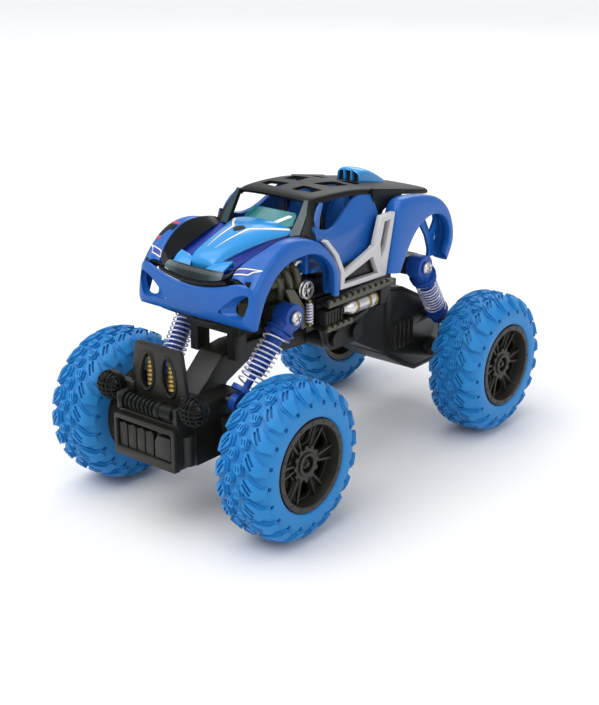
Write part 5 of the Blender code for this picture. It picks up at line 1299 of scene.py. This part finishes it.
def build_cabin():
    """The tub: swept side panels, floor, bulkheads, two seats, dash and steering wheel."""
    low = [(26.0, -27.5, 99.0), (26.0, -19.0, 92.0), (25.6, -10.0, 90.4), (25.2, 0.0, 92.0),
           (24.6, 9.0, 95.0), (24.2, 15.6, 99.0)]
    dent = [(25.9, -28.6, 102.5), (25.4, -19.0, 97.5), (24.2, -10.0, 96.4), (23.8, 0.0, 98.2),
            (24.0, 9.0, 100.6), (24.2, 15.4, 103.0)]
    crease = [(26.5, -29.2, 106.8), (26.4, -19.0, 103.6), (26.2, -9.0, 102.8), (25.8, 1.0, 103.8),
              (25.0, 9.0, 105.6), (24.4, 15.2, 106.6)]
    rise = [(25.6, -29.4, 109.4), (25.0, -20.0, 106.4), (24.3, -11.0, 106.4), (23.4, -2.0, 109.8),
            (22.8, 6.0, 112.0), (22.6, 14.6, 111.2)]
    top = [(25.0, -29.4, 111.2), (24.2, -21.0, 107.4), (23.2, -13.0, 107.8), (21.6, -4.0, 112.8),
           (20.4, 3.0, 118.4), (20.5, 13.8, 117.4)]
    inner = [(23.8, -29.2, 110.6), (22.6, -21.0, 106.6), (21.4, -13.0, 106.8), (19.4, -4.0, 111.6),
             (18.6, 4.6, 117.6), (18.8, 13.4, 116.6)]
    side = panel("side", [low, dent, crease, rise, top, inner], (0, -5, 95), 2, 1.0)
    post = panel("post",
                 [[(25.2, -28.9, 107.6), (25.0, -25.0, 107.2)], [(24.2, -27.0, 113.0), (23.6, -24.4, 112.6)],
                  [(22.2, -22.6, 118.2), (20.6, -16.6, 118.8)]], (0, -25, 112), 1, 1.0)
    parts = [with_mirror(joined("flanks", [side, post])),
             block("floor", (-23.0, -28.0, 91.0), (23.0, 14.0, 92.4), 0.3),
             block("front_bulkhead", (-22.0, -30.4, 91.0), (22.0, -28.6, 107.0), 0.3),
             block("rear_bulkhead", (-19.4, 12.0, 91.0), (19.4, 13.6, 115.6), 0.4)]
    for centre in (10.2, -10.2):
        back_rows = []
        for z, y, half in ((97.0, 6.6, 6.4), (103.0, 7.4, 7.0), (109.0, 8.4, 6.6), (112.0, 9.0, 4.2),
                           (115.6, 9.4, 3.8), (116.4, 9.8, 2.6)):
            back_rows.append([(centre - half, y - 1.8, z), (centre - half * 0.72, y - 0.4, z), (centre, y, z),
                              (centre + half * 0.72, y - 0.4, z), (centre + half, y - 1.8, z)])
        parts.append(panel("seat_back", back_rows, (centre, 14, 105), 2, 2.2, offset=1))
        parts.append(block("seat_base", (centre - 6.4, -6.0, 92.6), (centre + 6.4, 6.6, 97.4), 1.4, 3))
    # the tub wears the body paint darkened as painted shade
    dress(smoothed(joined("cabin_tub_panels", parts), 40), "seat", "chassis", "body_blue", "cabin_tub")
    dash = [block("dash", (-20.0, -28.4, 100.0), (20.0, -22.6, 106.8), 1.2, 3),
            block("console", (-2.4, -24.0, 92.6), (2.4, 4.0, 98.0), 0.8),
            turned("wheel", (10.2, -19.6, 106.4), (0, 0.86, 0.5),
                   [(3.3 + 0.5 * math.cos(a),
                     0.5 * math.sin(a)) for a in (math.tau * i / 10 for i in range(11))], 36),
            bar("column", (10.2, -24.0, 103.8), (10.2, -19.8, 106.2), 0.8, 12)]
    for i in range(3):
        turn = math.tau * i / 3
        place = axis_matrix((10.2, -19.6, 106.4), (0, 0.86, 0.5))
        spoke = block("spoke", (0, -0.4, -0.25), (3.2, 0.4, 0.25), 0.1)
        spoke.data.transform(place @ Matrix.Rotation(turn, 4, "Z"))
        dash.append(spoke)
    dress(smoothed(joined("dash_and_wheel", dash), 40), "cage", "chassis", "cage_black")
    lights = [block("dial", (x - 1.3, -23.0, 104.0), (x + 1.3, -22.3, 106.2), 0.3)
              for x in (7.4, 12.8, -3.0, -8.0)]
    dress(joined("dash_dials", lights), "green", "chassis", "glass_teal")
    posts = [bar("belt_post", (x, 5.0, 99.0), (x * 0.94, 3.4, 108.0), 0.7, 12)
             for x in (17.8, 2.6, -2.6, -17.8)]
    dress(joined("belt_posts", posts), "brass", "chassis", "screw_steel")


def build_scoop():
    """The scoop behind the roof, with three upright vents in its face."""
    rows = []
    for y, z, half, foot in ((25.2, 121.0, 5.9, 112.0), (25.8, 122.0, 6.3, 112.0), (30.0, 121.9, 6.5, 112.0),
                             (36.0, 119.8, 6.3, 111.0), (43.0, 116.2, 5.8, 110.0), (49.0, 112.6, 5.0, 109.0),
                             (51.6, 110.6, 4.2, 108.4)):
        rows.append([(0, y, z), (half * 0.5, y, z - 0.1), (half * 0.85, y, z - 0.7), (half, y, z - 2.0),
                     (half, y, mix(z, foot, 0.7)), (half, y, foot)])
    parts = [panel("scoop_shell", rows, (0, 36, 108), 2, 0.8, 0.05, True)]
    for x in (-1.9, 1.9):
        parts.append(block("bar", (x - 0.5, 25.0, 113.0), (x + 0.5, 27.0, 121.6), 0.2))
    parts.append(block("sill", (-5.9, 24.8, 114.0), (5.9, 26.6, 116.2), 0.3))
    dress(smoothed(joined("roof_scoop", parts), 40), "hood", "chassis", "body_blue", "scoop")
    dress(block("scoop_mesh", (-5.6, 27.6, 113.0), (5.6, 28.4, 120.9), 0.2), "olive", "chassis", "cage_black")


def build_trims():
    """The silver side trims with dark glass behind their windows."""
    for side in SIDES:
        node = f"side_trim_{side}"
        trim = rounded_copy(node, f"silver_trim_{side}", 0.35)
        dress(trim, "silver", "chassis", "trim_silver", node)
        x0, x1 = sorted((SIDES[side] * 26.2, SIDES[side] * 26.7))
        glass = plate(f"side_glass_{side}", "YZ",
                      rounded([(-15.4, 84.6), (12.6, 84.0), (20.0, 106.0), (12.4, 106.0), (8.4, 94.0),
                               (-13.0, 91.6)], 0.8), x0, x1)
        dress(glass, "gloss", "chassis", "glass_teal")


# ---------------------------------------------------------------- front unit

def build_front_box():
    """The box under the winch: a framed panel with ribs, half-round sides, and the plate with two ovals."""
    parts = [block("box", (-15.8, -98.6, 27.6), (15.8, -88.4, 46.2), 0.5),
             plate("frame", "XZ",
                   rounded([(-16.4, 27.6), (16.4, 27.6), (16.4, 43.4), (15.6, 45.0), (-15.6, 45.0),
                            (-16.4, 43.4)], 0.6), -101.4, -98.4,
                   [rounded([(-14.8, 31.2), (14.6, 31.2), (14.6, 42.8), (-14.8, 42.8)], 0.8)], 0.35)]
    for x in (-12.2, -7.4, -2.6, 2.2):
        parts.append(plate("rib", "XZ",
                           rounded([(x - 2.1, 31.0), (x + 2.1, 31.0), (x + 2.1, 40.4), (x + 0.9, 41.6),
                                    (x - 0.9, 40.8), (x - 2.1, 41.2)], 0.35), -100.4, -98.4, bevel=0.3))
    parts.append(plate("panel", "XZ",
                       rounded([(5.4, 31.6), (13.8, 31.6), (13.8, 41.0), (7.0, 41.0), (5.4, 38.4)], 0.4),
                       -100.8, -98.4, bevel=0.3))
    parts.append(block("ledge", (-16.0, -97.6, 44.6), (16.0, -88.4, 47.0), 0.5))
    for side in (1, -1):
        parts.append(bar("drum", (side * 15.6, -93.4, 28.8), (side * 15.6, -93.4, 41.2), 3.1, 32, 0.4))
        x0, x1 = sorted((side * 12.4, side * 20.6))
        parts.append(block("arm", (x0, -93.8, 50.0), (x1, -90.4, 55.8), 0.7, 3))
        parts.append(block("cheek", (min(side * 13.8, side * 16.2), -99.6, 46.0),
                           (max(side * 13.8, side * 16.2), -92.0, 53.0), 0.6))
    holes = []
    for side in (1, -1):
        holes.append([(side * (5.7 + 3.5 * math.cos(a) * (1 - 0.18 * math.sin(a))) - side * 0.7 * math.sin(a),
                       61.6 + 7.9 * math.sin(a)) for a in (math.tau * i / 28 for i in range(28))])
    outline = rounded([(-16.4, 45.6), (16.4, 45.6), (14.4, 58.0), (12.2, 73.0), (-12.2, 73.0), (-14.4, 58.0)],
                      2.2, 5)
    parts.append(plate("tow_plate", "XZ", outline, -92.6, -90.4, holes, 0.4))
    for hole in holes:
        parts.append(tube("lip", [(x, -92.6, z) for x, z in hole], 0.62, 2, True))
    dress(smoothed(joined("front_box_panels", parts), 40), "black", "front_unit", "chassis_black",
          "front_box")
    inner = [turned("core", (side * 5.6, -89.6, 55.0), (0, 0, 1),
                    [(0, 0)] + [(2.0 + 0.5 * (i % 2), 0.9 * i) for i in range(15)] + [(0, 13.5)],
                    20) for side in (1, -1)]
    dress(smoothed(joined("tow_cores", inner), 40), "brass", "front_unit", "spring_steel")


def build_winch():
    """The winch: two flanges, a drum wound with seven turns, and a gear case."""
    profile = [(0, 0), (3.2, 0), (3.5, 0.3), (3.5, 1.9), (3.2, 2.2), (2.2, 2.3)]
    for turn in range(7):
        start = 3.0 + turn * 2.25
        profile += [(2.2, start), (3.0, start + 0.35), (3.1, start + 0.75), (3.0, start + 1.15),
                    (2.2, start + 1.5)]
    profile += [(2.2, 19.0), (3.3, 19.1), (3.5, 19.4), (3.5, 21.0), (3.2, 21.3), (2.9, 21.4), (2.9, 27.0),
                (2.6, 27.4), (0, 27.5)]
    drum = turned("winch_wound_drum", (-13.7, -98.0, 50.3), (1, 0, 0), profile, 40)
    dress(drum, "cage", "front_unit", "chassis_black", "winch_drum")


LAMP_X, LAMP_Z, LAMP_FRONT = 22.2, 53.3, -96.4


def build_lamps():
    """Round lamps on the box's corners, each with a dark bulb under a guard of crossed wires."""
    for side, sign in SIDES.items():
        x = sign * LAMP_X
        shell = turned("shell", (x, -91.9, LAMP_Z), (0, -1, 0),
                       [(0, 0), (3.0, 0), (4.6, 0.6), (5.6, 2.2), (5.9, 3.6), (5.9, 5.0), (5.5, 5.2),
                        (5.4, 4.6), (0, 4.6)], 48)
        wires = []
        for offset in (-3.9, -1.95, 0.0, 1.95, 3.9):
            reach = math.sqrt(5.75 ** 2 - offset ** 2)
            arc = []
            for step in range(9):
                t = -math.pi / 2 + math.pi * step / 8
                along = reach * math.sin(t)
                depth = 4.9 * math.sqrt(max(0.0, 1 - (along ** 2 + offset ** 2) / 5.76 ** 2))
                arc.append((along, depth))
            wires.append(tube("wire", [(x + offset, LAMP_FRONT - d, LAMP_Z + a) for a, d in arc], 0.34, 1))
            wires.append(tube("wire", [(x + a, LAMP_FRONT - d, LAMP_Z + offset) for a, d in arc], 0.34, 1))
        guard = joined(f"lamp_guard_{side}", [shell, *wires])
        dress(guard, "cage", "front_unit", "chassis_black", f"lamp_{side}")
        dome = [(5.2 * math.cos(a), 4.4 * math.sin(a)) for a in (math.pi / 16 * i for i in range(9))]
        bulb = turned(f"lamp_bulb_{side}", (x, LAMP_FRONT, LAMP_Z), (0, -1, 0),
                      dome + [(0, -0.4), (5.0, -0.4), (5.2, 0)], 40)
        dress(bulb, "gloss", "front_unit", "chassis_black")


# ---------------------------------------------------------------- chassis fittings

CAN_X, CAN_Z = 26.3, 72.8
PULLEY_Y, PULLEY_Z = -30.4, 84.8
COIL_X, COIL_Y = 25.0, -31.7


def build_fittings():
    """The dummy engine's pipes, pulley and intake, and the canister along each side."""
    dress(rounded_copy("engine_block", "engine_casting", 0.4), "olive", "chassis", "chassis_black",
          "engine_block")
    pipes, rings = [], []
    for y, z in ((-44.0, 92.0), (-39.0, 93.6), (-33.8, 94.4)):
        pipes.append(tube("pipe",
                          [(9.0, y - 3, z - 4), (13.0, y - 1.5, z), (17.6, y, z), (19.6, y + 0.6, z - 3.6),
                           (19.2, y + 1.4, z - 8.6)], 1.7, 4))
        for x in (14.0, 16.2):
            rings.append(turned("ring", (x, y - 1.0, z), (1, 0.3, 0),
                                [(1.7, 0), (2.5, 0.1), (2.6, 0.6), (2.5, 1.1), (1.7, 1.2)], 28))
    rings.append(turned("collar", (17.6, -31.0, 93.6), (1, -0.2, 0),
                        [(2.2, 0), (3.1, 0.2), (3.3, 1.2), (3.1, 2.2), (2.2, 2.4)], 36))
    dress(with_mirror(joined("header_pipes", pipes)), "olive", "chassis", "chassis_black")
    rings.append(turned("wheel", (21.2, PULLEY_Y, PULLEY_Z), (1, 0, 0),
                        [(2.9, 0), (3.7, 0.1), (3.8, 0.5), (3.4, 0.9), (3.4, 1.3), (3.8, 1.7), (3.7, 2.1),
                         (2.9, 2.2), (2.9, 0)], 40))
    rings.append(turned("hub", (21.2, PULLEY_Y, PULLEY_Z), (1, 0, 0),
                        [(0, 0), (1.0, 0), (1.0, 2.0), (0.8, 2.3), (0, 2.3)], 20))
    for i in range(6):
        a = math.tau * i / 6
        rings.append(bar("spoke", (22.2, PULLEY_Y + math.cos(a), PULLEY_Z + math.sin(a)),
                         (22.2, PULLEY_Y + 3.1 * math.cos(a), PULLEY_Z + 3.1 * math.sin(a)), 0.35, 10))
    rings.append(turned("drum_rim", (19.0, -46.0, 78.0), (1, 0, 0),
                        [(2.6, 0), (3.1, 0.1), (3.1, 0.6), (2.6, 0.7)], 36))
    dress(with_mirror(joined("pulleys_and_rings", rings)), "steel", "chassis", "trim_silver")
    drums = [bar("drum", (13.0, -46.0, 78.0), (19.8, -46.0, 78.0), 2.7, 36, 0.3),
             bar("shaft", (18.0, PULLEY_Y, PULLEY_Z), (21.4, PULLEY_Y, PULLEY_Z), 1.2, 20)]
    dress(with_mirror(joined("side_drums", drums)), "black", "chassis", "chassis_black")
    points = [(COIL_X + 1.25 * math.cos(a), COIL_Y + 1.25 * math.sin(a), 71.6 + 1.2 * a / math.tau)
              for a in (math.tau * i / 10 for i in range(71))]
    coil = tube("coil", points, 0.38, 1)
    dress(with_mirror(named(coil, "side_coils")), "wire", "chassis", "spring_steel")
    rod = bar("coil_rods", (COIL_X, COIL_Y, 70.4), (COIL_X, COIL_Y, 81.4), 0.75, 16)
    dress(with_mirror(rod), "brass", "chassis", "spring_steel")
    for side, sign in SIDES.items():
        can = turned(f"canister_{side}", (sign * CAN_X, -12.4, CAN_Z), (0, 1, 0),
                     [(0, 0), (1.6, 0), (2.0, 0.4), (2.1, 1.6), (2.9, 3.0), (3.5, 4.4), (3.6, 5.2),
                      (3.3, 5.5), (3.3, 17.6), (3.6, 17.9), (3.6, 19.6), (3.1, 20.6), (1.9, 21.2),
                      (1.8, 22.6), (1.5, 23.0), (0, 23.0)], 40)
        dress(can, "steel", "chassis", "trim_silver")
        hoop = [(3.3, -0.2), (3.6, 0), (3.65, 0.5), (3.6, 1.0), (3.3, 1.2)]
        straps = [turned("strap", (sign * CAN_X, y, CAN_Z), (0, 1, 0), hoop, 36) for y in (-5.4, 3.0, 7.4)]
        straps.append(block("bead", (sign * CAN_X - 0.4, -4.8, 76.0), (sign * CAN_X + 0.4, 5.0, 76.5), 0.15))
        dress(joined(f"canister_straps_{side}", straps), "brass", "chassis", "spring_steel")


def build_boards():
    """The side boards: a toothed ledge above and a shorter one below, with the brackets ahead of them."""
    for side, sign in SIDES.items():
        parts = [block("back", (22.4, -25.0, 67.4), (23.6, 19.6, 79.4), 0.2),
                 block("upper", (22.6, -25.2, 77.2), (29.4, 19.4, 78.9), 0.35),
                 block("nose", (22.6, -25.4, 67.4), (28.6, -16.0, 75.4), 0.9, 3),
                 block("tail", (22.6, 12.4, 69.0), (28.4, 19.4, 76.6), 0.8, 3),
                 plate("lower", "XY",
                       rounded([(22.6, -26.4), (29.6, -26.0), (29.8, -8.0), (26.0, 6.0), (22.6, 12.0)], 0.8),
                       67.0, 68.6, bevel=0.25)]
        for i in range(5):
            parts.append(block("rib", (23.0, -24.0 + i * 2.0, 69.6), (29.0, -23.2 + i * 2.0, 74.4), 0.2))
        board = joined(f"step_board_{side}", parts)
        if sign < 0:
            board.data.transform(MIRROR)
            board.data.flip_normals()
        dress(smoothed(board, 40), "black", "chassis", "chassis_black", f"running_board_{side}")
    teeth = []
    for i in range(11):
        y = -24.6 + i * 4.0
        teeth.append(block("tooth", (28.0, y, 78.4), (29.9, y + 2.2, 79.9), 0.25))
    for i in range(5):
        y = -25.6 + i * 3.6
        teeth.append(block("tooth", (28.6, y, 66.9), (29.95, y + 2.0, 69.3), 0.25))
    edge = block("edge", (28.2, -25.0, 76.9), (29.9, 19.4, 78.8), 0.3)
    low = block("low", (28.4, -26.2, 66.9), (29.9, -9.0, 68.4), 0.3)
    dress(with_mirror(joined("board_teeth", [edge, low, *teeth])), "olive", "chassis", "chassis_black")
    bracket = plate("side_brackets", "YZ",
                    rounded([(-45.0, 88.6), (-39.8, 87.6), (-33.4, 79.0), (-31.0, 70.4), (-34.6, 69.4),
                             (-37.6, 75.6), (-41.8, 82.0)], 0.7), 22.6, 24.0, bevel=0.35)
    dress(with_mirror(bracket), "olive", "chassis", "chassis_black")


ROUNDED = (("chassis_frame", "chassis", 0.45), ("battery_cover", "chassis", 0.3),
           ("front_axle_housing", "front_unit", 0.4), ("steering_servo", "front_unit", 0.3),
           ("knuckle_left", "steer_left", 0.3), ("knuckle_right", "steer_right", 0.3),
           ("rear_gearbox", "rear_unit", 0.4), ("rear_gearbox_cover", "rear_unit", 0.4))
CARRIED = {"chassis_black": "black", "cage_black": "cage", "rim_black": "rim", "body_blue": "paint",
           "tyre_blue": "rubber", "shock_blue": "shock", "spring_steel": "wire", "screw_steel": "steel",
           "trim_silver": "silver", "glass_teal": "screen", "gear_nylon": "nylon", "motor_steel": "steel",
           "pack_green": "shrink", "board_green": "board"}


def build_castings():
    """The black castings with their edges broken."""
    for node, body, radius in ROUNDED:
        dress(rounded_copy(node, node + "_casting", radius), "black", body, "chassis_black", node)


def build_carried():
    """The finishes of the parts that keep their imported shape."""
    for name, node in frame["nodes"].items():
        kind = node.data.materials[0].name.split(".")[0]
        finish = "black" if name.startswith("pivot_pin") else CARRIED[kind]
        for slot in node.material_slots:
            slot.material = finish_of(finish).material


# ---------------------------------------------------------------- stage

VIEW_TURN, VIEW_LIFT = math.radians(39.4619), math.radians(19.9643)
CAMERA_PLACE = Vector((0.342168, -0.423219, 0.242180))
CAMERA_LENS = 67.78
FLOOR_SIZE = 12.0
WORLD_STRENGTH = 0.58
SKY_STRENGTH, SKY_SPREAD = 1.8, math.radians(70)
LIGHT_AIM = Vector((0, 0, 0.06))


def build_stage():
    """A pale floor, soft lights and the camera."""
    deselect()
    bpy.ops.mesh.primitive_grid_add(x_subdivisions=4, y_subdivisions=4, size=FLOOR_SIZE)
    floor = settle(named(bpy.context.object, "floor"))
    paper = Finish("floor_paper", Specular_IOR_Level=0.2)
    soft = paper.noise(60.0, 2.0)
    paper.set("Base Color", paper.blend(soft, (0.83, 0.83, 0.835, 1), (0.86, 0.86, 0.865, 1)))
    paper.set("Roughness", 0.72 + soft * 0.1)
    wear(floor, paper)

    world = bpy.data.worlds.new("studio")
    bpy.context.scene.world = world
    world.use_nodes = True
    world.node_tree.nodes["Background"].inputs["Color"].default_value = (0.96, 0.975, 1.0, 1)
    world.node_tree.nodes["Background"].inputs["Strength"].default_value = WORLD_STRENGTH
    for name, place, size, power, tint in (
            ("key", (-0.25, -0.95, 1.15), 0.7, 4.0, (1.0, 0.99, 0.97)),
            ("fill", (1.3, -0.15, 0.75), 0.9, 4.0, (0.95, 0.98, 1.0)),
            ("back", (-0.5, 1.1, 0.9), 0.8, 4.0, (1.0, 1.0, 1.0))):
        light = bpy.data.lights.new(name, "AREA")
        light.shape, light.size, light.energy, light.color = "SQUARE", size, power, tint
        lamp = linked(name, light)
        lamp.location = place
        lamp.rotation_euler = (LIGHT_AIM - Vector(place)).to_track_quat("-Z", "Y").to_euler()

    sky = bpy.data.lights.new("sky", "SUN")
    sky.energy, sky.angle = SKY_STRENGTH, SKY_SPREAD
    linked("sky", sky).rotation_euler = (math.radians(18), math.radians(-14), 0)

    back = Vector((math.sin(VIEW_TURN) * math.cos(VIEW_LIFT), -math.cos(VIEW_TURN) * math.cos(VIEW_LIFT),
                   math.sin(VIEW_LIFT)))
    lens = bpy.data.cameras.new("camera")
    lens.lens, lens.sensor_width, lens.sensor_fit = CAMERA_LENS, 36.0, "AUTO"
    lens.clip_start, lens.clip_end = 0.01, 30.0
    camera = linked("camera", lens)
    camera.location = CAMERA_PLACE
    camera.rotation_euler = back.to_track_quat("Z", "Y").to_euler()
    bpy.context.scene.camera = camera
    bpy.context.scene.view_settings.view_transform = "Standard"


# ---------------------------------------------------------------- operators

class TRUCK_OT_stage(bpy.types.Operator):
    """Adds the floor, the lights and the camera"""
    bl_idname = "truck.stage"
    bl_label = "Stage"
    bl_options = {"REGISTER", "UNDO"}

    def execute(self, context):
        build_stage()
        return {"FINISHED"}


class TRUCK_OT_tyres(bpy.types.Operator):
    """Adds four lugged rubber tyres"""
    bl_idname = "truck.tyres"
    bl_label = "Tyres"
    bl_options = {"REGISTER", "UNDO"}

    def execute(self, context):
        build_tyres(context.scene.truck_sizes)
        return {"FINISHED"}


class TRUCK_OT_rims(bpy.types.Operator):
    """Adds four spoked rims and their nuts"""
    bl_idname = "truck.rims"
    bl_label = "Rims"
    bl_options = {"REGISTER", "UNDO"}

    def execute(self, context):
        build_rims(context.scene.truck_sizes)
        return {"FINISHED"}


class TRUCK_OT_shocks(bpy.types.Operator):
    """Adds the shock bodies, feet and coil springs"""
    bl_idname = "truck.shocks"
    bl_label = "Shocks"
    bl_options = {"REGISTER", "UNDO"}

    def execute(self, context):
        build_shocks(context.scene.truck_sizes)
        return {"FINISHED"}


class TRUCK_OT_screws(bpy.types.Operator):
    """Adds the cross-head screw of each shock"""
    bl_idname = "truck.screws"
    bl_label = "Screws"
    bl_options = {"REGISTER", "UNDO"}

    def execute(self, context):
        build_screws()
        return {"FINISHED"}


class TRUCK_OT_front_fenders(bpy.types.Operator):
    """Adds the front fenders and bumper"""
    bl_idname = "truck.front_fenders"
    bl_label = "Front fenders"
    bl_options = {"REGISTER", "UNDO"}

    def execute(self, context):
        build_front_fenders(context.scene.truck_sizes)
        return {"FINISHED"}


class TRUCK_OT_hood(bpy.types.Operator):
    """Adds the hood tongue"""
    bl_idname = "truck.hood"
    bl_label = "Hood"
    bl_options = {"REGISTER", "UNDO"}

    def execute(self, context):
        build_hood()
        return {"FINISHED"}


class TRUCK_OT_channels(bpy.types.Operator):
    """Adds the channels and facets beside the hood"""
    bl_idname = "truck.channels"
    bl_label = "Channels"
    bl_options = {"REGISTER", "UNDO"}

    def execute(self, context):
        build_channels()
        return {"FINISHED"}


class TRUCK_OT_grille(bpy.types.Operator):
    """Adds the bow, the lens and the lip round the nose"""
    bl_idname = "truck.grille"
    bl_label = "Grille"
    bl_options = {"REGISTER", "UNDO"}

    def execute(self, context):
        build_grille()
        return {"FINISHED"}


class TRUCK_OT_rear_fenders(bpy.types.Operator):
    """Adds the rear fenders and their struts"""
    bl_idname = "truck.rear_fenders"
    bl_label = "Rear fenders"
    bl_options = {"REGISTER", "UNDO"}

    def execute(self, context):
        build_rear_fenders(context.scene.truck_sizes)
        return {"FINISHED"}


class TRUCK_OT_roof(bpy.types.Operator):
    """Adds the roof, pillars and rear quarters"""
    bl_idname = "truck.roof"
    bl_label = "Roof"
    bl_options = {"REGISTER", "UNDO"}

    def execute(self, context):
        build_roof()
        return {"FINISHED"}


class TRUCK_OT_windscreen(bpy.types.Operator):
    """Adds the tinted windscreen"""
    bl_idname = "truck.windscreen"
    bl_label = "Windscreen"
    bl_options = {"REGISTER", "UNDO"}

    def execute(self, context):
        build_windscreen()
        return {"FINISHED"}


class TRUCK_OT_cabin(bpy.types.Operator):
    """Adds the tub, seats, dash and steering wheel"""
    bl_idname = "truck.cabin"
    bl_label = "Cabin"
    bl_options = {"REGISTER", "UNDO"}

    def execute(self, context):
        build_cabin()
        return {"FINISHED"}


class TRUCK_OT_scoop(bpy.types.Operator):
    """Adds the vented scoop"""
    bl_idname = "truck.scoop"
    bl_label = "Scoop"
    bl_options = {"REGISTER", "UNDO"}

    def execute(self, context):
        build_scoop()
        return {"FINISHED"}


class TRUCK_OT_trims(bpy.types.Operator):
    """Adds the silver side trims"""
    bl_idname = "truck.trims"
    bl_label = "Side trims"
    bl_options = {"REGISTER", "UNDO"}

    def execute(self, context):
        build_trims()
        return {"FINISHED"}


class TRUCK_OT_front_box(bpy.types.Operator):
    """Adds the ribbed box and the plate with two ovals"""
    bl_idname = "truck.front_box"
    bl_label = "Front box"
    bl_options = {"REGISTER", "UNDO"}

    def execute(self, context):
        build_front_box()
        return {"FINISHED"}


class TRUCK_OT_winch(bpy.types.Operator):
    """Adds the wound winch drum"""
    bl_idname = "truck.winch"
    bl_label = "Winch"
    bl_options = {"REGISTER", "UNDO"}

    def execute(self, context):
        build_winch()
        return {"FINISHED"}


class TRUCK_OT_lamps(bpy.types.Operator):
    """Adds the two guarded lamps"""
    bl_idname = "truck.lamps"
    bl_label = "Lamps"
    bl_options = {"REGISTER", "UNDO"}

    def execute(self, context):
        build_lamps()
        return {"FINISHED"}


class TRUCK_OT_fittings(bpy.types.Operator):
    """Adds the engine's pipes, pulleys and the canisters"""
    bl_idname = "truck.fittings"
    bl_label = "Fittings"
    bl_options = {"REGISTER", "UNDO"}

    def execute(self, context):
        build_fittings()
        return {"FINISHED"}


class TRUCK_OT_boards(bpy.types.Operator):
    """Adds the running boards and their brackets"""
    bl_idname = "truck.boards"
    bl_label = "Boards"
    bl_options = {"REGISTER", "UNDO"}

    def execute(self, context):
        build_boards()
        return {"FINISHED"}


class TRUCK_OT_castings(bpy.types.Operator):
    """Adds the black castings with broken edges"""
    bl_idname = "truck.castings"
    bl_label = "Castings"
    bl_options = {"REGISTER", "UNDO"}

    def execute(self, context):
        build_castings()
        return {"FINISHED"}


class TRUCK_OT_carried(bpy.types.Operator):
    """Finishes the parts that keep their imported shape"""
    bl_idname = "truck.carried"
    bl_label = "Carried parts"
    bl_options = {"REGISTER", "UNDO"}

    def execute(self, context):
        build_carried()
        return {"FINISHED"}


class TRUCK_OT_graphics(bpy.types.Operator):
    """Adds the printed lines and the badge"""
    bl_idname = "truck.graphics"
    bl_label = "Graphics"
    bl_options = {"REGISTER", "UNDO"}

    def execute(self, context):
        build_graphics()
        return {"FINISHED"}


OPERATORS = (
    TRUCK_OT_stage, TRUCK_OT_tyres, TRUCK_OT_rims, TRUCK_OT_shocks, TRUCK_OT_screws,
    TRUCK_OT_front_fenders, TRUCK_OT_hood, TRUCK_OT_channels, TRUCK_OT_grille, TRUCK_OT_rear_fenders,
    TRUCK_OT_roof, TRUCK_OT_windscreen, TRUCK_OT_cabin, TRUCK_OT_scoop, TRUCK_OT_trims,
    TRUCK_OT_front_box, TRUCK_OT_winch, TRUCK_OT_lamps, TRUCK_OT_fittings, TRUCK_OT_boards,
    TRUCK_OT_castings, TRUCK_OT_carried, TRUCK_OT_graphics)


class TRUCK_PT_pieces(bpy.types.Panel):
    """Lists the truck's settings and its pieces"""
    bl_idname = "TRUCK_PT_pieces"
    bl_label = "Toy truck"
    bl_space_type = "VIEW_3D"
    bl_region_type = "UI"
    bl_category = "Truck"

    def draw(self, context):
        for group in (context.scene.truck_sizes, context.scene.truck_colours):
            column = self.layout.column(align=True)
            for setting in group.bl_rna.properties:
                if not setting.is_readonly and setting.identifier != "name":
                    column.prop(group, setting.identifier)
        for made in OPERATORS:
            self.layout.operator(made.bl_idname)


CLASSES = (TruckSizes, TruckColours, *OPERATORS, TRUCK_PT_pieces)


def register():
    for made in CLASSES:
        bpy.utils.register_class(made)
    bpy.types.Scene.truck_sizes = PointerProperty(type=TruckSizes)
    bpy.types.Scene.truck_colours = PointerProperty(type=TruckColours)


def unregister():
    del bpy.types.Scene.truck_colours
    del bpy.types.Scene.truck_sizes
    for made in reversed(CLASSES):
        bpy.utils.unregister_class(made)


def corners(bounds):
    return [[float(value) for value in corner] for corner in bounds]


def main():
    register()
    for made in OPERATORS:
        getattr(bpy.ops.truck, made.bl_idname.split(".")[1])()


if __name__ == "__main__":
    main()
